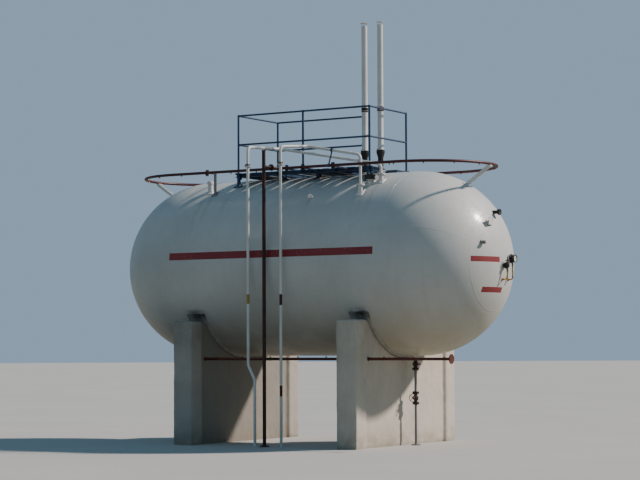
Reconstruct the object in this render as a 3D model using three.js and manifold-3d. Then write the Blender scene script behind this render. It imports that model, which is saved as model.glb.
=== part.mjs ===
// Horizontal gas storage tank on two concrete saddle piers, with its top platform, spray ring,
// risers, relief valves, vent stacks, gauges and drain line.
// Millimetres, +Z up. +X runs along the tank to its gauge end and +Y to its far side.

import * as THREE from 'three';
import { mergeVertices } from 'three/addons/utils/BufferGeometryUtils.js';
import Module from 'manifold-3d';

// Vessel
const SHELL_RADIUS = 1550;
const SHELL_WALL = 16;
const STRAIGHT_LENGTH = 4180;
const AXIS_HEIGHT = 3050;
const ROUND_SIDES = 48;
const HEAD_RINGS = 10;
const GAP = 0.3;

// Piers and saddles
const PIER = { x: 1620, width: 3450, top: 2100, columnWidth: 340, columnDepth: 380, webDepth: 290 };
const PAD = { thickness: 30, depth: 350, endHeight: 2215 };

// Platform and rails
const DECK = { left: -1225, right: 1500, side: 680, top: 4680, plate: 6 };
const BEAM = { width: 50, height: 62, middleX: [-400, 300] };
const LEG = { inset: 60, innerY: 400, padLength: 150, padWidth: 130, padThickness: 12 };
const ARM = { places: [130, 450, 1040], halfWidth: 20, bottom: 4648 };
const NOTCH = { left: 820, side: 230 };
const RAIL = { postRadius: 18, radius: 16, top: 5712, middle: 5185, inset: 42 };
const FOOT_PLATE = { halfSide: 40, thickness: 8 };
const MIDDLE_POST_X = 145;
const WALKWAY_LEFT_X = 595;

// Spray system
const RING = { length: 6760, width: 2350, height: 4672, radius: 24, sides: 10, bendSteps: 16 };
const RING_POST = { x: -1500, y: 896, top: 4712, radius: 24, arm: 14, halfPad: 55, padThickness: 10 };
const RING_STRUT = { inset: 440, footHeight: 4340, radius: 27 };
const RISER = { x: -20, y: -1620, radius: 30, top: 4945, flange: 80, cap: 38 };
const LOWER_PIPE = { y: -1250, z: 1455, radius: 24, left: -1900, right: 3300, flange: 80, cap: 32 };
const FEED_RADIUS = 24;

// White process lines: each climbs at LINE.y, turns back to its nozzle's line and falls along it
const LINE = { radius: 24, y: -1620, joint: 4700, collar: 54, foot: 80, flange: 16 };
const VAPOUR = { x: -340, top: 5015, cornerX: -240, cornerTop: 5050, endTop: 4690 };
const LIQUID = { x: 310, top: 4990, cornerX: 477, cornerTop: 5035, endTop: 4840 };
const JOG = { top: 1357, bottom: 1108, shift: 130 };

// Nozzles on the shell, as X and Y of each neck
const NOZZLE = { neck: 40, flange: 70, thickness: 16, rise: 120, halfPad: 70, padThickness: 10 };
const VAPOUR_NOZZLE = [1740, -750];
const LIQUID_NOZZLE = [1500, -1020];
const SPARE_NOZZLE = [1560, -800];
const SPARE = { rise: 60, cover: 90, coverHeight: 90, lip: 14, top: 60 };
const COUPLING = { x: -1660, y: -810, radius: 45, cap: 54, rise: 190 };

// Relief valves and vents
const VENTS_X = [1000, 1310];
const VENT = { base: 5010, joint: 5680, top: 7228, radius: 50, flange: 72, cap: 66 };
const RELIEF = { neck: 44, flange: 78, rise: 60 };

// Fittings on the gauge end, with the height of each over the tank's axis
const GAUGE = { y: 179, rise: 46, neck: 48, flange: 78, dial: 66, reach: 110 };
const SAMPLE_VALVE = { y: -42, rise: -74, neck: 24, flange: 50, body: 36 };
const SMALL_PIPE = { radius: 11, bend: 40, rise: -300 };
const HEAD_NOZZLE = { y: 60, rise: 815, neck: 30, flange: 52, stand: 110 };
const DATA_PLATE = { y: -285, rise: 650, halfWidth: 75, halfHeight: 60, thickness: 6, stand: 60 };
const THERMOWELL = { y: -566, rise: 290, radius: 26, hexagon: 34 };

// Drain line under the belly
const DRAIN = { x: 1960, pipe: 22, neck: 28, flange: 58, foot: 80, waist: 30, belly: 46, lowerValveTop: 880 };

const LUG = { x: 565, y: 1080, halfLength: 55, reach: 70, halfThickness: 10 };

const wasm = await Module();
wasm.setup();

const FINISHES = {
  whitePaint: { color: 0xe6e4de, roughness: 0.42, metalness: 0.0 },
  limewash: { color: 0xc9c5ba, roughness: 0.92, metalness: 0.0 },
  redPaint: { color: 0x7e2a22, roughness: 0.5, metalness: 0.0 },
  bluePaint: { color: 0x2f6478, roughness: 0.5, metalness: 0.0 },
  blackPaint: { color: 0x1d1f21, roughness: 0.55, metalness: 0.0 },
  greyPaint: { color: 0x8b9095, roughness: 0.5, metalness: 0.1 },
  darkSteel: { color: 0x3b3a38, roughness: 0.7, metalness: 0.4 },
};

const tank = new THREE.Group();

// Turns a closed geometry into a solid, without the collapsed triangles at a pole.
function solid(geometry) {
  const bare = geometry.clone();
  bare.deleteAttribute('normal');
  bare.deleteAttribute('uv');
  const merged = mergeVertices(bare, 1e-3);
  const corners = merged.index.array;
  const kept = [];
  for (let i = 0; i < corners.length; i += 3) {
    const [a, b, c] = [corners[i], corners[i + 1], corners[i + 2]];
    if (a !== b && b !== c && c !== a) kept.push(a, b, c);
  }
  return new wasm.Manifold(new wasm.Mesh({
    numProp: 3,
    vertProperties: new Float32Array(merged.attributes.position.array),
    triVerts: new Uint32Array(kept),
  }));
}

function join(...solids) {
  return solids.reduce((whole, next) => whole.add(next));
}

function piece(name, shape, finish) {
  const { vertProperties, triVerts } = shape.getMesh();
  const geometry = new THREE.BufferGeometry();
  geometry.setAttribute('position', new THREE.BufferAttribute(vertProperties, 3));
  geometry.setIndex(new THREE.BufferAttribute(triVerts, 1));
  geometry.computeVertexNormals();
  const mesh = new THREE.Mesh(geometry, new THREE.MeshStandardMaterial(FINISHES[finish]));
  mesh.name = name;
  tank.add(mesh);
}

function block(x0, x1, y0, y1, z0, z1) {
  const box = new THREE.BoxGeometry(x1 - x0, y1 - y0, z1 - z0);
  return solid(box.translate((x0 + x1) / 2, (y0 + y1) / 2, (z0 + z1) / 2));
}

// A round bar from one point to another, tapered where the second radius is given.
function rod(from, to, radius, sides = 12, endRadius = radius) {
  const start = new THREE.Vector3(...from);
  const end = new THREE.Vector3(...to);
  const along = end.clone().sub(start);
  const bar = new THREE.CylinderGeometry(endRadius, radius, along.length(), sides);
  const turn = new THREE.Quaternion().setFromUnitVectors(new THREE.Vector3(0, 1, 0), along.normalize());
  bar.applyQuaternion(turn);
  const middle = start.add(end).multiplyScalar(0.5);
  return solid(bar.translate(middle.x, middle.y, middle.z));
}

// Discs and cones stacked upwards on one vertical line: each row is [bottom, top, radius, top radius].
function stack(x, y, rows, sides = 16) {
  return join(...rows.map(([bottom, top, radius, topRadius = radius]) =>
    rod([x, y, bottom], [x, y, top], radius, sides, topRadius)));
}

// An outline in Y and Z, extruded along X.
function slab(outline, x0, x1) {
  const shape = new THREE.Shape(outline.map(([y, z]) => new THREE.Vector2(y, z)));
  const plate = new THREE.ExtrudeGeometry(shape, { depth: x1 - x0, bevelEnabled: false });
  const toWorld = new THREE.Matrix4().makeBasis(
    new THREE.Vector3(0, 1, 0), new THREE.Vector3(0, 0, 1), new THREE.Vector3(1, 0, 0));
  return solid(plate.applyMatrix4(toWorld).translate(x0, 0, 0));
}

// A profile of [radius, distance along X] turned about the tank's axis.
function turned(profile, sides = ROUND_SIDES) {
  const points = profile.map(([radius, along]) => new THREE.Vector2(radius, along));
  const lathe = new THREE.LatheGeometry(points, sides);
  return solid(lathe.rotateZ(-Math.PI / 2).translate(0, 0, AXIS_HEIGHT));
}

function solidDrum(radius, x0, x1) {
  return turned([[0, x0], [radius, x0], [radius, x1], [0, x1]]);
}

// A curve through stations, so that a straight run is one step and an elbow is a few.
class StationPath extends THREE.Curve {
  constructor(stations) {
    super();
    this.stations = stations;
    this.loops = stations[0].equals(stations[stations.length - 1]);
  }

  // The direction of the run that starts at station i. A looping path goes round.
  runDirection(i) {
    const runs = this.stations.length - 1;
    const k = this.loops ? (i + runs) % runs : Math.min(Math.max(i, 0), runs - 1);
    return this.stations[k + 1].clone().sub(this.stations[k]).normalize();
  }

  getPoint(t, target = new THREE.Vector3()) {
    const place = t * (this.stations.length - 1);
    const i = Math.min(Math.floor(place), this.stations.length - 2);
    return target.lerpVectors(this.stations[i], this.stations[i + 1], place - i);
  }

  getPointAt(u, target) {
    return this.getPoint(u, target);
  }

  getTangentAt(u, target = new THREE.Vector3()) {
    const i = Math.round(u * (this.stations.length - 1));
    return target.addVectors(this.runDirection(i - 1), this.runDirection(i)).normalize();
  }
}

// Replaces each inner corner of a route by an elbow of the given bend radius.
function bentRoute(corners, bend, steps = 4) {
  const points = corners.map((corner) => new THREE.Vector3(...corner));
  const stations = [points[0]];
  for (let i = 1; i < points.length - 1; i += 1) {
    const back = points[i - 1].clone().sub(points[i]).normalize();
    const ahead = points[i + 1].clone().sub(points[i]).normalize();
    const halfAngle = back.angleTo(ahead) / 2;
    const setback = bend / Math.tan(halfAngle);
    const reach = bend / Math.sin(halfAngle);
    const centre = back.clone().add(ahead).setLength(reach).add(points[i]);
    const first = points[i].clone().addScaledVector(back, setback).sub(centre);
    const axis = new THREE.Vector3().crossVectors(ahead, back).normalize();
    for (let k = 0; k <= steps; k += 1) {
      const angle = (k / steps) * (Math.PI - 2 * halfAngle);
      stations.push(first.clone().applyAxisAngle(axis, angle).add(centre));
    }
  }
  stations.push(points[points.length - 1]);
  return stations;
}

function pipe(stations, radius, sides = 10) {
  const corners = [];
  for (let i = 0; i < sides; i += 1) {
    const angle = ((i + 0.5) / sides) * Math.PI * 2;
    corners.push(new THREE.Vector2(radius * Math.cos(angle), radius * Math.sin(angle)));
  }
  const path = new StationPath(stations);
  const settings = { steps: stations.length - 1, bevelEnabled: false, extrudePath: path };
  return solid(new THREE.ExtrudeGeometry(new THREE.Shape(corners), settings));
}

function shellHeightAt(y) {
  return AXIS_HEIGHT + Math.sqrt(SHELL_RADIUS ** 2 - y ** 2);
}

const halfStraight = STRAIGHT_LENGTH / 2;

// What stands on the vessel is cut by its outline with a small gap.
const vesselOutline = join(
  solidDrum(SHELL_RADIUS + GAP, -halfStraight - 1, halfStraight + 1),
  ...[-1, 1].map((side) => headSolid(side, SHELL_RADIUS + GAP)),
);

function headSolid(side, radius) {
  const profile = [];
  for (let i = 0; i <= HEAD_RINGS; i += 1) {
    const angle = (i / HEAD_RINGS) * (Math.PI / 2);
    profile.push([radius * Math.cos(angle), side * (halfStraight + radius * Math.sin(angle))]);
  }
  profile[HEAD_RINGS][0] = 0;
  profile.unshift([0, side * halfStraight]);
  return turned(side > 0 ? profile : profile.reverse());
}

// A piece of curved plate that lies on the upper side of the barrel.
function curvedPad(x0, x1, y0, y1, thickness) {
  const skin = solidDrum(SHELL_RADIUS + thickness, x0, x1).subtract(vesselOutline);
  return skin.intersect(block(x0 - 1, x1 + 1, y0, y1, AXIS_HEIGHT + 200, AXIS_HEIGHT + SHELL_RADIUS + 100));
}

function buildVessel() {
  const inner = SHELL_RADIUS - SHELL_WALL;
  const end = halfStraight - GAP / 2;
  piece('shell_barrel', turned([[SHELL_RADIUS, -end], [SHELL_RADIUS, end], [inner, end], [inner, -end],
    [SHELL_RADIUS, -end]]), 'whitePaint');
  for (const [name, side] of [['head_left', -1], ['head_right', 1]]) {
    const rim = side * (halfStraight + GAP / 2);
    const cutoff = side > 0 ? [-4000, rim] : [rim, 4000];
    const cap = headSolid(side, SHELL_RADIUS).subtract(headSolid(side, inner))
      .subtract(block(...cutoff, -2000, 2000, 0, 6000));
    piece(name, cap, 'whitePaint');
  }
}

function buildPier(name, x) {
  const half = PIER.width / 2;
  const inner = half - PIER.columnWidth;
  const columns = [-1, 1].map((side) => block(x - PIER.columnDepth / 2, x + PIER.columnDepth / 2,
    Math.min(side * half, side * inner), Math.max(side * half, side * inner), 0, PIER.top));
  const web = block(x - PIER.webDepth / 2, x + PIER.webDepth / 2, -inner - 1, inner + 1, 0, PIER.top);
  const seatRadius = SHELL_RADIUS + PAD.thickness + 2 * GAP;
  const seat = solidDrum(seatRadius, x - PIER.columnDepth, x + PIER.columnDepth);
  const { y, z, radius } = LOWER_PIPE;
  const sleeve = rod([x - PIER.columnDepth, y, z], [x + PIER.columnDepth, y, z], radius + GAP, 12);
  piece(name, join(web, ...columns).subtract(seat).subtract(sleeve), 'limewash');
}

function buildSaddlePad(name, x) {
  const outer = solidDrum(SHELL_RADIUS + PAD.thickness + GAP, x - PAD.depth / 2, x + PAD.depth / 2);
  const below = block(x - PAD.depth, x + PAD.depth, -PIER.width, PIER.width, 0, PAD.endHeight);
  piece(name, outer.subtract(vesselOutline).intersect(below), 'darkSteel');
}

// A square leg that stands on the shell by a curved pad.
function platformLeg(x, y, top) {
  const half = BEAM.width / 2;
  const leg = block(x - half, x + half, y - half, y + half, shellHeightAt(y) - 40, top);
  const [dx, dy] = [LEG.padLength / 2, LEG.padWidth / 2];
  return join(leg.subtract(vesselOutline), curvedPad(x - dx, x + dx, y - dy, y + dy, LEG.padThickness));
}

// The frame has two long stringers, cross bearers, legs at its corners and under the middle
// bearers, and arms that hold the spray ring.
function buildPlatform() {
  const top = DECK.top - DECK.plate - GAP;
  const bottom = top - BEAM.height;
  const halfBeam = BEAM.width / 2;
  const rowY = DECK.side - halfBeam;
  const endX = DECK.right - halfBeam;
  const bearersX = [DECK.left + halfBeam, ...BEAM.middleX, NOTCH.left - 40];
  const parts = bearersX.map((x) => block(x - halfBeam, x + halfBeam, -rowY, rowY, bottom, top));
  for (const side of [-1, 1]) {
    const y = side * rowY;
    parts.push(block(DECK.left, DECK.right, y - halfBeam, y + halfBeam, bottom, top));
    const notchY = side * NOTCH.side;
    const [y0, y1] = [Math.min(notchY, y), Math.max(notchY, y)];
    parts.push(block(endX - halfBeam, endX + halfBeam, y0, y1, bottom, top));
    for (const x of [DECK.left + LEG.inset, DECK.right - LEG.inset]) {
      parts.push(platformLeg(x, y, top - 5));
    }
    for (const x of BEAM.middleX) {
      parts.push(platformLeg(x, side * LEG.innerY, top - 5));
    }
    const tipY = side * (ringInnerSide() - GAP);
    const [near, far] = [Math.min(y, tipY), Math.max(y, tipY)];
    for (const x of ARM.places) {
      parts.push(block(x - ARM.halfWidth, x + ARM.halfWidth, near, far, ARM.bottom, top));
    }
  }
  piece('platform_frame', join(...parts), 'bluePaint');

  const { left, side } = NOTCH;
  const notch = block(left, DECK.right + 10, -side, side, DECK.top - 50, DECK.top + 50);
  const plate = block(DECK.left, DECK.right, -DECK.side, DECK.side, DECK.top - DECK.plate, DECK.top);
  piece('deck_plate', plate.subtract(notch), 'darkSteel');
}

// A guard rail of round posts on small foot plates, with a top and a middle rail. Where the corner
// post of the next guard rail is given, the rails run on to its side.
function guardRail(name, posts, cornerPost) {
  const base = DECK.top + GAP;
  const half = FOOT_PLATE.halfSide;
  const parts = posts.map(([x, y]) => join(
    rod([x, y, base], [x, y, RAIL.top], RAIL.postRadius, 8),
    block(x - half, x + half, y - half, y + half, base, DECK.top + FOOT_PLATE.thickness)));
  const [x0, y0] = posts[0];
  const [x1, y1] = cornerPost ?? posts[posts.length - 1];
  const short = cornerPost ? RAIL.postRadius + GAP : 0;
  const [dx, dy] = [Math.sign(x1 - x0) * short, Math.sign(y1 - y0) * short];
  for (const height of [RAIL.top - RAIL.radius - 3, RAIL.middle]) {
    parts.push(rod([x0, y0, height], [x1 - dx, y1 - dy, height], RAIL.radius, 10));
  }
  piece(name, join(...parts), 'bluePaint');
}

function buildRails() {
  const y = DECK.side - RAIL.inset;
  const left = DECK.left + RAIL.inset;
  const right = DECK.right - RAIL.inset;
  guardRail('rail_near', [[left, -y], [MIDDLE_POST_X, -y], [right, -y]]);
  guardRail('rail_left_end', [[left, y]], [left, -y]);
  guardRail('rail_far', [[WALKWAY_LEFT_X, y]], [left, y]);
  guardRail('rail_right_end', [[right, y]], [right, -y]);
}

// The ring's outline is a straight-sided loop with half-round ends.
function ringLoop() {
  const bend = RING.width / 2;
  const straight = RING.length / 2 - bend;
  const stations = [];
  for (const end of [1, -1]) {
    for (let i = 0; i <= RING.bendSteps; i += 1) {
      const angle = -Math.PI / 2 + (i / RING.bendSteps) * Math.PI;
      const x = end * (straight + bend * Math.cos(angle));
      stations.push(new THREE.Vector3(x, end * bend * Math.sin(angle), RING.height));
    }
  }
  stations.push(stations[0].clone());
  const path = new StationPath(stations);
  return solid(new THREE.TubeGeometry(path, stations.length - 1, RING.radius, RING.sides, true));
}

// The Y of the flat inner side of the ring's straight runs.
function ringInnerSide() {
  return RING.width / 2 - RING.radius * Math.cos(Math.PI / RING.sides);
}

// Each ring post stands upright on the shell and reaches the ring by a short arm.
function buildSprayRing() {
  piece('spray_ring', ringLoop(), 'redPaint');
  const { x, top, radius, arm, halfPad, padThickness } = RING_POST;
  for (const [sideName, side] of [['near', -1], ['far', 1]]) {
    const y = side * RING_POST.y;
    const post = rod([x, y, shellHeightAt(y) - 60], [x, y, top], radius, 10);
    const pad = curvedPad(x - halfPad, x + halfPad, y - halfPad, y + halfPad, padThickness);
    const reach = rod([x, y, RING.height], [x, side * (ringInnerSide() - GAP), RING.height], arm, 8);
    piece(`ring_post_${sideName}`, join(post.subtract(vesselOutline), pad, reach), 'greyPaint');
  }
  const underRing = RING.height - RING.radius - GAP;
  for (const [endName, end] of [['left', -1], ['right', 1]]) {
    const foot = new THREE.Vector3(end * (RING.length / 2 - RING_STRUT.inset), 0, RING_STRUT.footHeight);
    const tip = new THREE.Vector3(end * (RING.length / 2), 0, underRing);
    const along = tip.clone().sub(foot);
    const above = along.clone().setLength(40).add(tip);
    const below = foot.clone().sub(along.setLength(60));
    const strut = rod(below.toArray(), above.toArray(), RING_STRUT.radius, 10);
    const cut = block(-4000, 4000, -100, 100, underRing, underRing + 100);
    piece(`ring_strut_${endName}`, strut.subtract(vesselOutline).subtract(cut), 'whitePaint');
  }
}

function buildSprayFeed() {
  const { x, y, radius, top } = RISER;
  const rows = [[0, 14, RISER.flange], [14, top - 12, radius], [top - 12, top, RISER.cap]];
  piece('spray_riser', stack(x, y, rows, 14), 'redPaint');

  const start = y + radius + GAP;
  const ringSideY = -RING.width / 2 - RING.radius * Math.cos(Math.PI / RING.sides);
  const upper = rod([x, start, RING.height], [x, ringSideY - GAP, RING.height], FEED_RADIUS, 12);
  piece('spray_feed_upper', upper, 'redPaint');
  const { left, right, z } = LOWER_PIPE;
  const lower = rod([x, start, z], [x, LOWER_PIPE.y - LOWER_PIPE.radius - GAP, z], FEED_RADIUS, 12);
  piece('spray_feed_lower', lower, 'redPaint');

  const header = join(
    rod([left, LOWER_PIPE.y, z], [right, LOWER_PIPE.y, z], LOWER_PIPE.radius, 12),
    rod([right - 18, LOWER_PIPE.y, z], [right, LOWER_PIPE.y, z], LOWER_PIPE.flange, 16),
    rod([left, LOWER_PIPE.y, z], [left + 14, LOWER_PIPE.y, z], LOWER_PIPE.cap, 12));
  piece('lower_spray_pipe', header, 'redPaint');
}

// A short flanged neck that stands upright on the flank of the shell.
function flangedNozzle(name, [x, y], rise = NOZZLE.rise) {
  const face = nozzleFace(y, rise);
  const { neck, flange, halfPad } = NOZZLE;
  const stem = rod([x, y, shellHeightAt(y) - 120], [x, y, face], neck, 14).subtract(vesselOutline);
  const disc = rod([x, y, face - NOZZLE.thickness], [x, y, face], flange, 18);
  const pad = curvedPad(x - halfPad, x + halfPad, y - halfPad, y + halfPad, NOZZLE.padThickness);
  piece(name, join(stem, disc, pad), 'whitePaint');
}

function nozzleFace(y, rise = NOZZLE.rise) {
  return Math.round(shellHeightAt(y) + rise);
}

function buildProcessLine(name, line, [nozzleX, nozzleY], jog) {
  const foot = rod([line.x + jog, LINE.y, 0], [line.x + jog, LINE.y, LINE.flange], LINE.foot, 16);
  const climb = [[line.x + jog, LINE.y, LINE.flange / 2], [line.x, LINE.y, LINE.joint]];
  if (jog !== 0) climb.splice(1, 0, [line.x + jog, LINE.y, JOG.bottom], [line.x, LINE.y, JOG.top]);
  const under = LINE.joint - LINE.flange;
  const collar = rod([line.x, LINE.y, under], [line.x, LINE.y, LINE.joint], LINE.collar, 16);
  piece(`${name}_riser`, join(pipe(bentRoute(climb, 120), LINE.radius, 12), foot, collar), 'whitePaint');

  const start = LINE.joint + GAP;
  const face = nozzleFace(nozzleY) + GAP;
  const route = [[line.x, LINE.y, start + LINE.flange / 2], [line.x, LINE.y, line.top],
    [line.cornerX, nozzleY, line.cornerTop], [nozzleX, nozzleY, line.endTop],
    [nozzleX, nozzleY, face + NOZZLE.thickness / 2]];
  const disc = rod([nozzleX, nozzleY, face], [nozzleX, nozzleY, face + NOZZLE.thickness], NOZZLE.flange, 18);
  piece(`${name}_top`, join(
    pipe(bentRoute(route, 80), LINE.radius, 12),
    rod([line.x, LINE.y, start], [line.x, LINE.y, start + LINE.flange], LINE.collar, 16),
    disc), 'whitePaint');
}

function buildProcessLines() {
  flangedNozzle('vapour_nozzle', VAPOUR_NOZZLE);
  flangedNozzle('liquid_nozzle', LIQUID_NOZZLE);
  buildProcessLine('vapour_line', VAPOUR, VAPOUR_NOZZLE, JOG.shift);
  buildProcessLine('liquid_line', LIQUID, LIQUID_NOZZLE, 0);

  flangedNozzle('spare_nozzle', SPARE_NOZZLE, SPARE.rise);
  const [x, y] = SPARE_NOZZLE;
  const face = nozzleFace(y, SPARE.rise) + GAP;
  const brim = face + SPARE.coverHeight - SPARE.lip;
  const cover = stack(x, y, [[face, brim, SPARE.cover], [brim, brim + SPARE.lip, SPARE.top]], 18);
  piece('spare_nozzle_cover', cover, 'blackPaint');

  const seat = shellHeightAt(COUPLING.y);
  const capBase = seat + COUPLING.rise - 60;
  const coupling = stack(COUPLING.x, COUPLING.y,
    [[seat - 80, seat + COUPLING.rise, COUPLING.radius], [capBase, capBase + 45, COUPLING.cap]], 14);
  piece('left_coupling', coupling.subtract(vesselOutline), 'whitePaint');
}

function buildReliefValves() {
  const crown = AXIS_HEIGHT + SHELL_RADIUS;
  const seat = crown + RELIEF.rise;
  const { neck, flange } = RELIEF;
  VENTS_X.forEach((x, i) => {
    const side = i === 0 ? 'left' : 'right';
    piece(`relief_nozzle_${side}`, join(
      rod([x, 0, crown - 80], [x, 0, seat], neck, 16).subtract(vesselOutline),
      rod([x, 0, seat - 16], [x, 0, seat], flange, 18),
      curvedPad(x - 90, x + 90, -90, 90, 10)), 'whitePaint');
    const foot = seat + GAP;
    piece(`relief_valve_${side}`, stack(x, 0, [
      [foot, foot + 18, flange], [foot + 10, foot + 70, 40], [foot + 60, foot + 230, neck, VENT.radius],
      [foot + 225, foot + 300, VENT.radius, VENT.flange],
      [foot + 295, VENT.base, VENT.flange]]), 'blackPaint');
    const base = VENT.base + GAP;
    const rainCap = VENT.top - 14;
    const { joint, radius } = VENT;
    piece(`vent_stack_${side}`, stack(x, 0, [
      [base, base + 14, VENT.flange], [base + 10, joint + 10, radius], [joint, joint + 110, radius + 8],
      [joint + 100, VENT.top - 62, radius], [VENT.top - 70, rainCap + 4, 12],
      [rainCap, VENT.top, VENT.cap]]), 'whitePaint');
  });
}

// The X of the right head's surface at a place given by Y and by the height over the axis.
function headFaceX({ y, rise }) {
  return halfStraight + Math.sqrt(SHELL_RADIUS ** 2 - y ** 2 - rise ** 2);
}

// A round bar along X, at a place on the right head.
function headRod(place, x0, x1, radius, sides = 16) {
  const z = AXIS_HEIGHT + place.rise;
  return rod([x0, place.y, z], [x1, place.y, z], radius, sides);
}

// A small pipe that hangs from a fitting at X and turns back into the head.
function smallPipe(name, x, y, top) {
  const end = { y, rise: SMALL_PIPE.rise };
  const z = AXIS_HEIGHT + SMALL_PIPE.rise;
  const route = bentRoute([[x, y, top - GAP], [x, y, z], [headFaceX(end) - 40, y, z]], SMALL_PIPE.bend);
  piece(name, pipe(route, SMALL_PIPE.radius, 8).subtract(vesselOutline), 'darkSteel');
}

function buildLevelGauge() {
  const face = headFaceX(GAUGE);
  const boss = join(headRod(GAUGE, face - 60, face + 34, GAUGE.neck, 20).subtract(vesselOutline),
    headRod(GAUGE, face + 18, face + 34, GAUGE.flange, 20));
  piece('gauge_boss', boss, 'whitePaint');
  const seat = face + 34 + GAP;
  const front = halfStraight + SHELL_RADIUS + GAUGE.reach;
  const stubX = seat + 28;
  const z = AXIS_HEIGHT + GAUGE.rise;
  piece('level_gauge', join(
    headRod(GAUGE, seat, seat + 14, GAUGE.flange, 20),
    headRod(GAUGE, seat + 10, front - 40, GAUGE.neck, 20),
    headRod(GAUGE, front - 48, front, GAUGE.dial, 20),
    rod([stubX, GAUGE.y, z], [stubX, GAUGE.y, z - 100], 14, 10)), 'blackPaint');
  smallPipe('gauge_pipe', stubX, GAUGE.y, z - 100);
}

function buildSampleValve() {
  const face = headFaceX(SAMPLE_VALVE);
  const { y, rise, neck, flange, body } = SAMPLE_VALVE;
  const x = face + 68;
  const z = AXIS_HEIGHT + rise;
  piece('sample_valve', join(
    headRod(SAMPLE_VALVE, face - 40, face + 50, neck).subtract(vesselOutline),
    headRod(SAMPLE_VALVE, face + 24, face + 38, flange),
    headRod(SAMPLE_VALVE, face + 36, face + 100, body),
    rod([x, y, z], [x, y, z + 84], 16, 10),
    rod([x, y, z + 76], [x, y, z + 88], 40, 16),
    rod([x, y, z], [x, y, z - 86], 14, 10)), 'blackPaint');
  smallPipe('sample_pipe', x, y, z - 86);
}

// Fittings on the gauge end of the vessel. Each stands out along X from the domed head.
function buildGaugeEnd() {
  buildLevelGauge();
  buildSampleValve();

  const stub = headFaceX(HEAD_NOZZLE);
  const end = stub + HEAD_NOZZLE.stand;
  piece('head_nozzle', join(
    headRod(HEAD_NOZZLE, stub - 150, end, HEAD_NOZZLE.neck).subtract(vesselOutline),
    headRod(HEAD_NOZZLE, end - 14, end, HEAD_NOZZLE.flange)), 'blackPaint');
  piece('head_nozzle_cover', headRod(HEAD_NOZZLE, end + GAP, end + 18, HEAD_NOZZLE.flange), 'blackPaint');

  const { y, rise, halfWidth, halfHeight, thickness, stand } = DATA_PLATE;
  const plateX = headFaceX(DATA_PLATE) + stand;
  const z = AXIS_HEIGHT + rise;
  const legs = [-40, 40].map((shift) =>
    headRod({ y: y + shift, rise }, plateX - 160, plateX + thickness / 2, 9, 8).subtract(vesselOutline));
  const front = plateX + thickness;
  const plate = block(plateX, front, y - halfWidth, y + halfWidth, z - halfHeight, z + halfHeight);
  piece('data_plate', join(plate, ...legs), 'whitePaint');

  const well = headFaceX(THERMOWELL);
  piece('thermowell', join(
    headRod(THERMOWELL, well - 60, well + 50, THERMOWELL.radius, 12).subtract(vesselOutline),
    headRod(THERMOWELL, well + 40, well + 70, THERMOWELL.hexagon, 6)), 'darkSteel');
}

// The drain hangs from the belly: nozzle, upper valve, pipe, lower valve and a pipe to the ground.
function buildDrain() {
  const { x, flange, pipe: bore, waist, belly, lowerValveTop } = DRAIN;
  const underside = AXIS_HEIGHT - SHELL_RADIUS;
  const nozzleEnd = underside - 60;
  piece('drain_nozzle', join(
    rod([x, 0, nozzleEnd], [x, 0, underside + 60], DRAIN.neck, 14).subtract(vesselOutline),
    rod([x, 0, nozzleEnd], [x, 0, nozzleEnd + 16], flange, 18)), 'whitePaint');

  const upperTop = nozzleEnd - GAP;
  const upperEnd = upperTop - 160;
  piece('drain_valve_upper', join(
    stack(x, 0, [[upperTop - 16, upperTop, flange], [upperTop - 150, upperTop - 10, waist],
      [upperTop - 120, upperTop - 40, belly], [upperEnd, upperEnd + 16, flange]]),
    rod([x, 0, upperTop - 80], [x, -90, upperTop - 80], 14, 10),
    block(x - 12, x + 150, -92, -80, upperTop - 90, upperTop - 70)), 'blackPaint');

  const pipeTop = upperEnd - GAP;
  const pipeEnd = lowerValveTop + GAP;
  piece('drain_pipe_middle', stack(x, 0, [[pipeEnd, pipeEnd + 16, flange],
    [pipeEnd + 10, pipeTop - 8, bore], [pipeTop - 16, pipeTop, flange]], 14), 'greyPaint');

  const lowerEnd = lowerValveTop - 176;
  const stemZ = lowerValveTop - 85;
  piece('drain_valve_lower', join(
    stack(x, 0, [[lowerValveTop - 16, lowerValveTop, flange], [lowerEnd + 16, lowerValveTop - 10, waist],
      [lowerValveTop - 125, lowerValveTop - 45, belly], [lowerEnd, lowerEnd + 16, flange]]),
    rod([x, 0, stemZ], [x, -110, stemZ], 14, 10),
    rod([x, -100, stemZ], [x, -112, stemZ], 70, 18)), 'blackPaint');
  const footTop = lowerEnd - GAP;
  piece('drain_pipe_lower', stack(x, 0, [[0, 14, DRAIN.foot], [10, footTop - 8, bore],
    [footTop - 16, footTop, flange]], 14), 'greyPaint');
}

// Small lifting lugs welded to both flanks near the crown, each square to the shell.
function buildLugs() {
  const { x, reach, halfLength, halfThickness } = LUG;
  const rootDepth = 60;
  for (const [name, side] of [['lifting_lug_near', -1], ['lifting_lug_far', 1]]) {
    const slope = side * Math.asin(LUG.y / SHELL_RADIUS);
    const corners = [[-1, -rootDepth], [1, -rootDepth], [1, reach], [-1, reach]];
    const outline = corners.map(([across, out]) => [
      side * LUG.y + out * Math.sin(slope) + across * halfThickness * Math.cos(slope),
      shellHeightAt(LUG.y) + out * Math.cos(slope) - across * halfThickness * Math.sin(slope)]);
    piece(name, slab(outline, x - halfLength, x + halfLength).subtract(vesselOutline), 'whitePaint');
  }
}

buildVessel();
buildPier('pier_left', -PIER.x);
buildPier('pier_right', PIER.x);
buildSaddlePad('saddle_pad_left', -PIER.x);
buildSaddlePad('saddle_pad_right', PIER.x);
buildPlatform();
buildRails();
buildSprayRing();
buildSprayFeed();
buildProcessLines();
buildReliefValves();
buildGaugeEnd();
buildDrain();
buildLugs();

// The middle of the whole length is at the origin.
tank.position.x = -GAUGE.reach / 2;

export default tank;
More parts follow.
